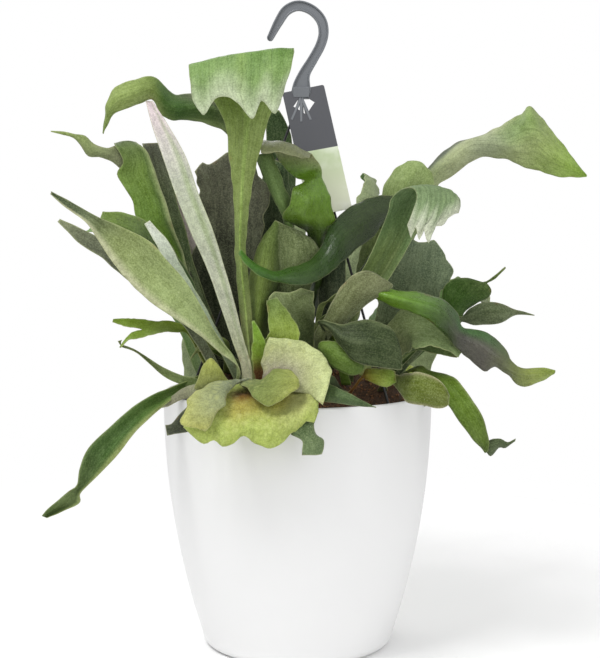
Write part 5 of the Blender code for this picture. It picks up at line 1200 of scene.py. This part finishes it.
def makeFrond(name, spec, ground, seed):
    high = spec["strips"] * blade["columnsPerStrip"]
    rows = frames(rail([seatRoot(spec, ground)] + spec["path"]), spec)
    main = bladeGrid(rows, np.linspace(-1, 1, high + 1), spec, spec.get("end"), seed, blade["opensBy"])
    index = np.arange(main["share"].size).reshape(main["share"].shape)
    grids, points, tables, total = [main], [main["surface"].reshape(-1, 3)], [index], index.size
    for first, last, path in spec.get("lobes", []):
        low, high = first * blade["columnsPerStrip"], last * blade["columnsPerStrip"]
        edge = main["surface"][-1, low:high + 1]
        start = (*(edge.mean(axis=0) / cm), np.linalg.norm(edge[-1] - edge[0]) / cm)
        lobeRows = frames(rail([start] + path), spec, rows[-1][2])
        lobe = bladeGrid(lobeRows, np.linspace(-1, 1, high - low + 1), spec, None, seed + first,
                         blade["lobeOpensBy"], blade["lobeCalm"])
        ease = np.clip(1 - lobe["share"] / blade["lobeEase"], 0, 1)[..., None] ** 2
        lobe["surface"] = lobe["surface"] + (edge - lobe["surface"][0])[None] * ease
        lobe["share"] = 1 + lobe["share"] * lobe["length"] / main["length"]
        lobe["along"] = lobe["along"] + main["length"]
        table = np.empty(lobe["share"].shape, int)
        table[0] = index[-1, low:high + 1]
        table[1:] = total + np.arange(table[1:].size).reshape(table[1:].shape)
        total += table[1:].size
        points.append(lobe["surface"][1:].reshape(-1, 3))
        grids.append(lobe)
        tables.append(table)
    points = np.concatenate(points)

    def gather(key):
        return np.concatenate([main[key].ravel()] + [grid[key][1:].ravel() for grid in grids[1:]])

    share, width, t, along = gather("share"), gather("width"), gather("t"), gather("along")
    quads = np.concatenate([np.stack([table[:-1, :-1], table[:-1, 1:], table[1:, 1:], table[1:, :-1]],
                                     axis=-1).reshape(-1, 4) for table in tables])
    away = np.linalg.norm(points - main["surface"][0].mean(axis=0), axis=1)
    stalk = np.clip(1 - away / blade["stalkLength"], 0, 1) * np.minimum(1, blade["stalkWidth"] / width)
    margin = (1 - np.abs(t)) * width
    if len(grids) == 1:
        last = main["share"][-1][None, :] - main["share"]
        margin = np.minimum(margin, last.ravel() * main["length"])
    return leafSolid(name, spec, points, quads, share / share.max(), t, width, along, margin, stalk)


def placeSeen(across, down, near):
    # the point, in cm, that shows at a place in the picture and lies so far before the axis
    away = -near - camera["place"][1] / cm
    tilt = math.radians(camera["down"]) + math.atan((down - camera["middle"][1]) / camera["focal"])
    return ((across - camera["middle"][0]) * away / camera["focal"] + camera["place"][0] / cm, -near,
            camera["place"][2] / cm - away * math.tan(tilt))


def seenRow(row, spec):
    # a row of places, or two margins whose middle bows, to the millimetre
    if isinstance(row, tuple):
        across, down, farAcross, farDown, near = row
        nearer = spec["bow"] * min(1, (abs(farDown - down) + abs(farAcross - across)) / sheetRules["fullBow"])
        row = [(across, down, near), ((across + farAcross) / 2, (down + farDown) / 2, round(near + nearer, 1)),
               (farAcross, farDown, near)]
    return [placeSeen(*place) for place in row]


sheetRules = dict(fullBow=16, pucker=0.5, crinkle=1.2, puckers=(70, 150), smallShare=0.5, crinkles=110,
                  ribReach=0.1, rootLift=2 * mm, calmRoot=0.2, crinkleFrom=0.3, side=8, tip=6, spread=0.9,
                  stalk=(0.3, 0.6))


def makeSheet(name, spec, ground, seed):
    # a smooth sheet through rows of points
    x, y, width = spec["root"]
    rows = spec.get("rows") or [seenRow(row, spec) for row in spec["seen"]]
    columns = np.linspace(0, 1, max(len(row) for row in rows))

    def along(row):
        spread = np.linspace(0, 1, len(row))
        return np.stack([np.interp(columns, spread, np.array(row)[:, axis]) for axis in range(3)], axis=-1)

    net = np.array([along(row) for row in rows]) * cm
    places = np.linspace(-0.5, 0.5, net.shape[1])
    root = np.array([[x * cm + place * width * cm, y * cm, ground(x * cm, y * cm) + sheetRules["rootLift"]]
                      for place in places])
    net = np.concatenate([root[None], net])

    def refine(table):
        spans = np.linalg.norm(np.diff(table, axis=0), axis=-1).max(axis=1)
        padded = np.concatenate([2 * table[:1] - table[1:2], table, 2 * table[-1:] - table[-2:-1]])
        lines = []
        for number, span in enumerate(spans):
            count = max(2, round(span / blade["sheetStep"]))
            lines += [catmull(*padded[number:number + 4], step / count) for step in range(count)]
        return np.array(lines + [padded[-2]])

    surface = refine(refine(net).transpose(1, 0, 2)).transpose(1, 0, 2)
    lengths = np.pad(np.cumsum(np.linalg.norm(np.diff(surface, axis=0), axis=-1), axis=0), ((1, 0), (0, 0)))
    spans = np.pad(np.cumsum(np.linalg.norm(np.diff(surface, axis=1), axis=-1), axis=1), ((0, 0), (1, 0)))
    share = lengths / lengths[-1]
    t = 2 * spans / np.maximum(spans[:, -1:], 1e-9) - 1
    width = np.broadcast_to(spans[:, -1:] / 2, share.shape)
    normal = unit(np.cross(np.gradient(surface, axis=1), np.gradient(surface, axis=0)))
    if spec.get("flip"):
        normal = -normal
    # puckers between the veins, and a crinkled margin
    amount, fine = [spec.get(key, sheetRules[key]) * mm for key in ("pucker", "crinkle")]
    broad, small = sheetRules["puckers"]
    side, tip, start = sheetRules["side"], sheetRules["tip"], sheetRules["crinkleFrom"]
    edge = np.minimum(1, np.maximum(np.abs(t) ** side * (share > start), share ** tip))

    def noiseOver(scale, shift):
        return np.array([[noise.noise(Vector(place) * scale + Vector(shift)) for place in row]
                         for row in surface])

    bumps = noiseOver(broad, (seed, 0, 0)) * amount
    bumps = bumps + noiseOver(small, (0, seed, 0)) * amount * sheetRules["smallShare"]
    rough = noiseOver(sheetRules["crinkles"], (0, 0, seed))
    outward = unit(np.gradient(surface, axis=0)) * (share ** side)[..., None]
    outward = outward + unit(np.gradient(surface, axis=1)) * (np.sign(t) * np.abs(t) ** side)[..., None]
    if "ribs" in spec:  # pleats that run down a hanging tip
        ribsFrom, height, count = spec["ribs"]
        deep = np.clip((share - ribsFrom) / sheetRules["ribReach"], 0, 1)
        bumps = bumps + height * mm * np.sin(math.pi * count * t) * deep
    calm = np.minimum(1, share / sheetRules["calmRoot"])
    surface = surface + normal * (bumps * calm + rough * fine * edge)[..., None]
    spread = rough * fine * sheetRules["spread"] * np.minimum(1, share / start)
    surface = surface + outward * spread[..., None]
    index = np.arange(share.size).reshape(share.shape)
    order = [index[:-1, :-1], index[:-1, 1:], index[1:, 1:], index[1:, :-1]]
    quads = np.stack(order[::-1] if spec.get("flip") else order, axis=-1).reshape(-1, 4)
    margin = np.minimum((1 - np.abs(t)) * width, (1 - share) * lengths[-1][None, :])
    reach, strength = sheetRules["stalk"]
    stalk = np.clip(1 - share / reach, 0, 1) * strength
    return leafSolid(name, spec, surface.reshape(-1, 3), quads, share.ravel(), t.ravel(), width.ravel(),
                     lengths.ravel(), margin.ravel(), stalk.ravel())


groundRules = dict(above=1000 * mm, beside=200 * mm)
rhizomeNode = frame["nodes"]["rhizome"]
groundTree = BVHTree.FromPolygons([v.co for v in rhizomeNode.data.vertices],
                                  [tuple(p.vertices) for p in rhizomeNode.data.polygons])


def ground(x, y):
    # the rhizome's top, found from a point well above it
    hit = groundTree.ray_cast(Vector((x, y, groundRules["above"])), Vector((0, 0, -1)))[0]
    return hit.z if hit else groundRules["beside"]


slotOf = {part["node"]: part["material_slot"] for part in frame["record"]["subparts"]}
for number, (name, spec) in enumerate({**fronds, **sheets}.items()):
    leaf = (makeFrond if "path" in spec else makeSheet)(name, spec, ground, number)
    finishPiece(leaf, *([spec["slot"]] if "slot" in spec else [slotOf[name], name]))
print("fronds drawn:", len(fronds), "and sheets:", len(sheets))


# Planter: its profile follows the solid's rule and Geometry Nodes turns it round a circle
planter = dict(rim=110 * mm, height=210 * mm, taper=34 * mm, curve=2.1, wall=3 * mm, foot=9 * mm, turns=160,
               wallSteps=48, roundSteps=10, floorSteps=6, floorRound=0.8)


def coverNode(name, material):
    # a solid whose shape is right keeps it and takes a new material
    materials = frame["nodes"][name].data.materials
    materials.clear()
    materials.append(material)


def planterRadius(height):
    return planter["rim"] - planter["taper"] * (1 - height / planter["height"]) ** planter["curve"]


def quarter(steps, count):
    # cosine and sine of even turns through a right angle
    return [(math.cos(math.pi / 2 * step / steps), math.sin(math.pi / 2 * step / steps)) for step in count]


def planterProfile():
    # from the middle of the floor inside, up the wall, over the rim and down to the middle of the foot
    wall, top, foot = planter["wall"], planter["height"], planter["foot"]
    steps, rise = planter["roundSteps"], top - wall / 2 - foot
    heights = [top - wall / 2 - rise * step / planter["wallSteps"] for step in range(planter["wallSteps"] + 1)]
    outer = [(planterRadius(height), height) for height in heights]
    rim = [(planter["rim"] - wall / 2 - wall / 2 * cosine, top - wall / 2 + wall / 2 * sine)
           for cosine, sine in quarter(steps / 2, range(1, steps))]
    bend = [(outer[-1][0] - foot * (1 - cosine), foot * (1 - sine))
            for cosine, sine in quarter(steps, range(1, steps + 1))]
    inner = [(radius - wall, height) for radius, height in reversed(outer)]
    inside = [(inner[0][0] - foot * planter["floorRound"] * (1 - sine), wall + (foot - wall) * (1 - cosine))
              for cosine, sine in quarter(planter["floorSteps"], range(planter["floorSteps"]))]
    return [(0, wall)] + inside + inner + rim + outer + bend + [(0, 0)]


def turnedPiece(name, profile, turns, material):
    # Geometry Nodes lays a grid with one row for each profile point and turns it about the upright axis
    outline = bpy.data.meshes.new(name + "Profile")
    outline.from_pydata([(radius, 0, height) for radius, height in profile], [], [])
    plan = Plan(name + "Turned", Rows=len(profile), Turns=turns)
    turned = plan.given("Turns")
    grid = plan.node("GeometryNodeMeshGrid", None,
                     {"Vertices X": plan.given("Rows"), "Vertices Y": turned + 1})
    index = plan.node("GeometryNodeInputIndex")
    row = plan.node("ShaderNodeMath", dict(operation="FLOOR"), {0: (index + 0.5) / (turned + 1)})
    angle = (index - row * (turned + 1)) / turned * (2 * math.pi)
    sample = plan.node("GeometryNodeSampleIndex", dict(data_type="FLOAT_VECTOR"),
                       {"Geometry": plan.given("Geometry"), "Value": plan.node("GeometryNodeInputPosition"),
                        "Index": row})
    point = plan.node("ShaderNodeSeparateXYZ", None, {0: sample})
    height = Wire(plan, point.socket.node.outputs[2])
    cosine = plan.node("ShaderNodeMath", dict(operation="COSINE"), {0: angle})
    place = plan.node("ShaderNodeCombineXYZ", None, {0: point * cosine, 1: point * angle.sine(), 2: height})
    moved = plan.node("GeometryNodeSetPosition", None, {"Geometry": grid, "Position": place})
    welded = plan.node("GeometryNodeMergeByDistance", None, {"Geometry": moved, "Distance": 0.00001})
    piece = plan.grow(name, outline, welded, material)
    piece.data.shade_smooth()
    return piece


white = plasticMaterial("whitePlastic", (228, 228, 228), rough=0.42, grain=0.00012, speckle=0.003)
finishPiece(turnedPiece("planterShell", planterProfile(), planter["turns"], white), "white_plastic", "planter")
coverNode("nursery_pot", plasticMaterial("nurseryPlastic", (34, 33, 32), rough=0.5, grain=0.0003))
print("pots turned")


# Hanger: a moulded hook with a recessed face, three coated wires and a plain two-tone card
hook = dict(thick=6 * mm, recess=1.5 * mm, flange=1.3 * mm, round=0.5 * mm, step=1.2 * mm, draft=0.2 * mm,
            cut=0.3, noseSteps=6, noseEnd=6.5,
            path=[(0.3, 45.1, 0.85), (0.35, 45.9, 0.68), (0.6, 46.8, 0.46), (1.25, 47.9, 0.4),
                  (1.85, 49.0, 0.4), (2.1, 50.0, 0.41), (1.9, 51.0, 0.41), (1.15, 51.8, 0.4),
                  (0.1, 52.15, 0.4), (-0.85, 51.8, 0.4), (-1.5, 50.9, 0.36), (-2.2, 49.6, 0.26)])
hub = dict(centre=(3 * mm, 1 * mm, 452 * mm), size=(15 * mm, 11.6 * mm, 9.6 * mm), round=1.2 * mm)
fingers = dict(slants=(-22, 0, 22), lean=-17, place=(3 * mm, -4.2 * mm, 448 * mm), round=0.5 * mm,
               size=(2.6 * mm, 1.6 * mm, 21 * mm))
# each wire's foot is x and y in cm, with how far from the hub's middle it starts
wires = dict(radius=1.05 * mm, sides=12, steps=24, hub=(3 * mm, 3 * mm, 446.7 * mm), footRise=1 * mm,
             feet=dict(wire_left=(-9.05, -3.3, 1.5 * mm), wire_right=(7.35, -6.2, 1.5 * mm),
                       wire_back=(1.65, 9.45, 2.5 * mm)))
card = dict(width=34 * mm, length=106 * mm, thick=0.9 * mm, corner=1.6 * mm, hole=9 * mm, holeDown=13 * mm,
            top=(4.5 * mm, -2 * mm, 455 * mm), lean=-17, hang=-12, bevel=0.15 * mm, seam=53 * mm,
            fade=(50 * mm, 105 * mm), dark=(74, 75, 80), sage=(176, 192, 150), cream=(226, 230, 204),
            pale=(238, 240, 230))


def hookSection(half):
    # one strap section: rounded corners and a channel sunk in the front and the back
    deep, flange, corner = hook["thick"] / 2, min(hook["flange"], half * 0.45), hook["round"]
    floor, cut = deep - hook["recess"], corner * hook["cut"]
    side = [(half, deep - corner), (half - cut, deep - cut), (half - corner, deep),
            (half - flange + corner, deep), (half - flange + cut, deep - cut),
            (half - flange, deep - corner), (half - flange - hook["draft"], floor + 2 * cut),
            (half - flange - corner, floor)]
    front = side + [(-u, v) for u, v in reversed(side)]
    return front + [(-u, -v) for u, v in front]


def makeHook():
    stations = [Vector((x, half, z)) * cm for x, z, half in hook["path"]]
    stations = [2 * stations[0] - stations[1]] + stations + [2 * stations[-1] - stations[-2]]
    line = []
    for number in range(len(stations) - 3):
        count = max(3, round((stations[number + 2] - stations[number + 1]).length / hook["step"]))
        line += [catmull(*stations[number:number + 4], step / count) for step in range(count)]
    line.append(stations[-2])
    bm = bmesh.new()
    loops = []

    def addLoop(point, along, half, shrink):
        across = Vector((along.z, 0, -along.x))
        section = [(u * shrink, v * (0.4 + 0.6 * shrink)) for u, v in hookSection(half)]
        loops.append([bm.verts.new(point + across * u + Vector((0, v, 0))) for u, v in section])

    last = len(line) - 1
    for index, sample in enumerate(line):
        ahead, behind = line[min(index + 1, last)], line[max(index - 1, 0)]
        along = Vector((ahead.x - behind.x, 0, ahead.z - behind.z)).normalized()
        addLoop(Vector((sample.x, 0, sample.z)), along, sample.y, 1)
    for step in range(1, hook["noseSteps"] + 1):  # the rounded nose
        turn = math.pi / 2 * step / hook["noseEnd"]
        tip = Vector((sample.x, 0, sample.z)) + along * sample.y * math.sin(turn)
        addLoop(tip, along, sample.y, math.cos(turn))
    for first, second in zip(loops, loops[1:]):
        for number in range(len(first)):
            after = (number + 1) % len(first)
            bm.faces.new((first[number], first[after], second[after], second[number]))
    bm.faces.new(loops[0][::-1])
    bm.faces.new(loops[-1])
    addBlock(bm, Matrix.Translation(hub["centre"]), hub["size"], hub["round"])
    for slant in fingers["slants"]:
        turn = (Matrix.Translation(fingers["place"]) @ Matrix.Rotation(math.radians(fingers["lean"]), 4, "X")
                @ Matrix.Rotation(math.radians(slant), 4, "Y"))
        width, depth, length = fingers["size"]
        addBlock(bm, turn @ Matrix.Translation((0, 0, -length / 2)), (width, depth, length), fingers["round"])
    bmesh.ops.recalc_face_normals(bm, faces=bm.faces[:])
    mesh = bpy.data.meshes.new("hangerHook")
    bm.to_mesh(mesh)
    bm.free()
    mesh.materials.append(hookGrey)
    return addObject("hangerHook", mesh)


def addBlock(bm, place, size, corner):
    made = bmesh.ops.create_cube(bm, size=1, matrix=place @ Matrix.Diagonal((*size, 1)))
    edges = list({edge for vert in made["verts"] for edge in vert.link_edges})
    bmesh.ops.bevel(bm, geom=edges, offset=corner, segments=3, affect="EDGES")


def makeWires():
    plan = Plan("wireAlongPath", Radius=wires["radius"], Sides=wires["sides"])
    curve = plan.node("GeometryNodeMeshToCurve", None, {0: plan.given("Geometry")})
    ring = plan.node("GeometryNodeCurvePrimitiveCircle", None,
                     {"Resolution": plan.given("Sides"), "Radius": plan.given("Radius")})
    tube = plan.node("GeometryNodeCurveToMesh", None,
                     {"Curve": curve, "Profile Curve": ring, "Fill Caps": True})
    smooth = plan.node("GeometryNodeSetShadeSmooth", None, {0: tube})
    steps = wires["steps"]
    for name, (x, y, start) in wires["feet"].items():
        top = Vector(wires["hub"]) + Vector((x, y, 0)).normalized() * start
        end = Vector((x * cm, y * cm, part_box(name)[0][2] + wires["footRise"]))
        points = [tuple(top.lerp(end, step / steps)) for step in range(steps + 1)]
        mesh = bpy.data.meshes.new(name + "Path")
        mesh.from_pydata(points, [(step, step + 1) for step in range(steps)], [])
        finishPiece(plan.grow(name + "Tube", mesh, smooth, wireBlack), "wire", name)


def makeCard():
    curve = bpy.data.curves.new("cardOutline", "CURVE")
    curve.dimensions = "2D"
    curve.fill_mode = "BOTH"
    curve.extrude = card["thick"] / 2 - card["bevel"]
    curve.bevel_depth = card["bevel"]
    curve.bevel_resolution = 2
    wide, tall, corner, hole = card["width"] / 2, card["length"], card["corner"], card["hole"]
    outline = []
    for cx, cy, start in ((wide - corner, -corner, 0), (-wide + corner, -corner, 90),
                          (-wide + corner, -tall + corner, 180), (wide - corner, -tall + corner, 270)):
        for step in range(7):
            turn = math.radians(start + 15 * step)
            outline.append((cx + corner * math.cos(turn), cy + corner * math.sin(turn)))
    diamond = [(-2 * mm + hole * math.cos(math.pi / 2 * turn),
                -card["holeDown"] + hole * math.sin(math.pi / 2 * turn)) for turn in range(4)]
    for line in (outline, diamond):
        spline = curve.splines.new("POLY")
        spline.points.add(len(line) - 1)
        for point, (x, y) in zip(spline.points, line):
            point.co = (x, y, 0, 1)
        spline.use_cyclic_u = True
    seedling = bpy.data.objects.new("cardSeed", curve)
    bpy.context.scene.collection.objects.link(seedling)
    mesh = bpy.data.meshes.new_from_object(seedling.evaluated_get(bpy.context.evaluated_depsgraph_get()))
    bpy.data.objects.remove(seedling)
    layer = mesh.attributes.new("cardPlace", "FLOAT_VECTOR", "POINT")
    layer.data.foreach_set("vector", [value for vertex in mesh.vertices for value in vertex.co])
    stand = Matrix.Rotation(math.radians(90), 4, "X")
    mesh.transform(Matrix.Translation(card["top"]) @ Matrix.Rotation(math.radians(card["lean"]), 4, "X")
                   @ Matrix.Rotation(math.radians(card["hang"]), 4, "Y") @ stand)
    mesh.materials.clear()
    mesh.materials.append(cardMaterial())
    return addObject("hangCard", mesh)


def cardMaterial():
    # charcoal above a slanted line, pale sage to cream below it
    book = Book("cardPrint")
    x, y, z = book.split(book.attribute("cardPlace"))
    place = book.place()
    top = (y + x * 0.02 + card["seam"]).step(0.0, 0.3 * mm)
    cloud = book.noise(place, 45, 3)
    lower = book.mix((0 - y).step(*card["fade"]), linear(card["sage"]), linear(card["cream"]))
    lower = book.mix(cloud.step(0.45, 0.7) * 0.5, lower, linear(card["pale"]))
    book.set(Base_Color=book.mix(top, lower, linear(card["dark"])), Roughness=0.35 + cloud * 0.1)
    book.bump(book.noise(place, 1400, 2), 0.05 * mm, 0.3)
    return book.material


hookGrey = plasticMaterial("hookPlastic", (112, 115, 120), rough=0.42, grain=0.0002, speckle=0.02)
wireBlack = plasticMaterial("wireCoat", (30, 30, 30), rough=0.4, grain=0.0001)
finishPiece(makeHook(), "hook_plastic", "hanger_hook")
makeWires()
finishPiece(makeCard(), "card", "tag")
print("hanger made")


# Soil crumbs and the rhizome's scales: scattered by Geometry Nodes
crumbs = dict(density=90000, small=0.5 * mm, large=2.2 * mm, seed=3)
chips = dict(density=9000, small=1.4 * mm, large=3.6 * mm, seed=11)
pebbles = dict(spin=6.28, narrow=0.8)
soilBed = dict(radius=94 * mm, reach=96 * mm, level=190.4 * mm, dome=15 * mm, grid=60)


def scatterPlan(name, settings, shape, flat):
    plan = Plan(name, Density=float(settings["density"]), Smallest=settings["small"], Largest=settings["large"],
                Seed=settings["seed"])
    points = plan.node("GeometryNodeDistributePointsOnFaces", None,
                       {"Mesh": plan.given("Geometry"), "Density": plan.given("Density"),
                        "Seed": plan.given("Seed")})
    size = plan.random(plan.given("Smallest"), plan.given("Largest"))
    turn = plan.random((0, 0, 0), (pebbles["spin"],) * 3, "FLOAT_VECTOR")
    scale = plan.node("ShaderNodeCombineXYZ", None, {0: size, 1: size * pebbles["narrow"], 2: size * flat})
    placed = plan.node("GeometryNodeInstanceOnPoints", None,
                       {"Points": points, "Instance": shape(plan), "Rotation": turn, "Scale": scale})
    return plan, placed


def crumbShape(plan):
    return plan.node("GeometryNodeMeshIcoSphere", None, {"Radius": 1.0, "Subdivisions": 1})


def soilTop():
    # the soil's domed top, which the crumbs lie on
    radius, grid = soilBed["radius"], soilBed["grid"]
    bm = bmesh.new()
    bmesh.ops.create_grid(bm, x_segments=grid, y_segments=grid, size=radius)
    bmesh.ops.delete(bm, geom=[v for v in bm.verts if v.co.xy.length > radius], context="VERTS")
    for vert in bm.verts:
        vert.co.z = soilBed["level"] + soilBed["dome"] * (1 - (vert.co.xy.length / soilBed["reach"]) ** 2)
    mesh = bpy.data.meshes.new("soilTop")
    bm.to_mesh(mesh)
    bm.free()
    return mesh


soilBrown = soilMaterial("soilCrumb", (12, 11, 10), (36, 31, 28))
chipBrown = barkMaterial("barkChip", (26, 20, 16), (66, 50, 40))
barkBrown = barkMaterial("rhizomeBark", (44, 30, 20), (96, 68, 44))
plan, placed = scatterPlan("crumbScatter", crumbs, crumbShape, 0.7)
finishPiece(plan.grow("soilCrumbs", soilTop(), placed, soilBrown), "soil")
plan, placed = scatterPlan("chipScatter", chips, crumbShape, 0.4)
finishPiece(plan.grow("soilChips", soilTop(), placed, chipBrown), "soil")
coverNode("soil", soilBrown)
coverNode("rhizome", barkBrown)
print("soil laid")


# Scales on the creeping stem, and the short pale hairs of the felted blades
scales = dict(density=70000, small=0.7 * mm, large=2.0 * mm, seed=21)
hairs = dict(density=26000, small=0.5 * mm, large=1.1 * mm, seed=5)


def joinedCopy(name, objects):
    bm = bmesh.new()
    for one in objects:
        bm.from_mesh(one.data)
    bmesh.ops.remove_doubles(bm, verts=bm.verts[:], dist=0.00001)
    mesh = bpy.data.meshes.new(name)
    bm.to_mesh(mesh)
    bm.free()
    return mesh


def scaleShape(plan):
    return plan.node("GeometryNodeMeshCone", dict(fill_type="NONE"),
                     {"Vertices": 5, "Radius Top": 0.15, "Radius Bottom": 0.8, "Depth": 1.6})


def hairShape(plan):
    return plan.node("GeometryNodeMeshCone", dict(fill_type="NGON"),
                     {"Vertices": 3, "Radius Top": 0.0, "Radius Bottom": 0.1, "Depth": 1.2})


plan, placed = scatterPlan("scaleScatter", scales, scaleShape, 0.9)
finishPiece(plan.grow("rhizomeScales", joinedCopy("rhizomeCopy", [rhizomeNode]), placed,
                      barkMaterial("rhizomeScale", (84, 56, 36), (156, 112, 74))), "rhizome")
feltLeaves = [bpy.data.objects[name + "Leaf"] for name, spec in {**fronds, **sheets}.items()
              if spec.get("kind") == "felt"]
plan, placed = scatterPlan("hairScatter", hairs, hairShape, 1.0)
finishPiece(plan.grow("feltHairs", joinedCopy("feltCopy", feltLeaves), placed,
                      barkMaterial("feltHair", (176, 182, 148), (222, 224, 200))), "leaf_pale")
print("scales and hairs grown")


# Studio: a pale round floor that fades into the white, lit softly from the upper left
studio = dict(floor=0.9, fadeFrom=0.30, fadeTo=0.80, ambient=0.72, backdrop=1.0)
lights = dict(
    key=dict(place=(-0.75, -0.8, 1.8), size=0.6, power=19),
    fill=dict(place=(1.0, -1.6, 0.7), size=1.4, power=9),
    back=dict(place=(-0.6, 1.4, 1.6), size=1.2, power=8),
)


def floorDisc():
    bm = bmesh.new()
    bmesh.ops.create_circle(bm, cap_ends=True, segments=96, radius=studio["floor"])
    mesh = bpy.data.meshes.new("studioFloor")
    bm.to_mesh(mesh)
    bm.free()
    book = Book("studioFloor")
    place = book.place()
    x, y, z = book.split(place)
    away = (x * x + y * y) ** 0.5
    book.set(Base_Color=book.mix(book.noise(place, 3, 2) * 0.05, (0.96, 0.96, 0.96, 1), (0.92, 0.92, 0.92, 1)),
             Roughness=0.7, Alpha=1 - away.step(studio["fadeFrom"], studio["fadeTo"]))
    mesh.materials.append(book.material)
    return addObject("studioFloor", mesh)


floorDisc()
for name, light in lights.items():
    data = bpy.data.lights.new(name, "AREA")
    data.size = light["size"]
    data.energy = light["power"]
    made = bpy.data.objects.new(name, data)
    made.location = light["place"]
    made.rotation_euler = (Vector((0, 0, 0.25)) - Vector(light["place"])).to_track_quat("-Z", "Y").to_euler()
    bpy.context.scene.collection.objects.link(made)
world = bpy.data.worlds.new("studio")
world.use_nodes = True
sky = Graph()
sky.tree = world.node_tree
seen = sky.node("ShaderNodeLightPath")
background = sky.tree.nodes["Background"]
background.inputs["Color"].default_value = (1, 1, 1, 1)
sky.feed(background.inputs["Strength"], studio["ambient"] + seen * (studio["backdrop"] - studio["ambient"]))
bpy.context.scene.world = world
bpy.context.scene.view_settings.view_transform = "Standard"
print("studio lit")
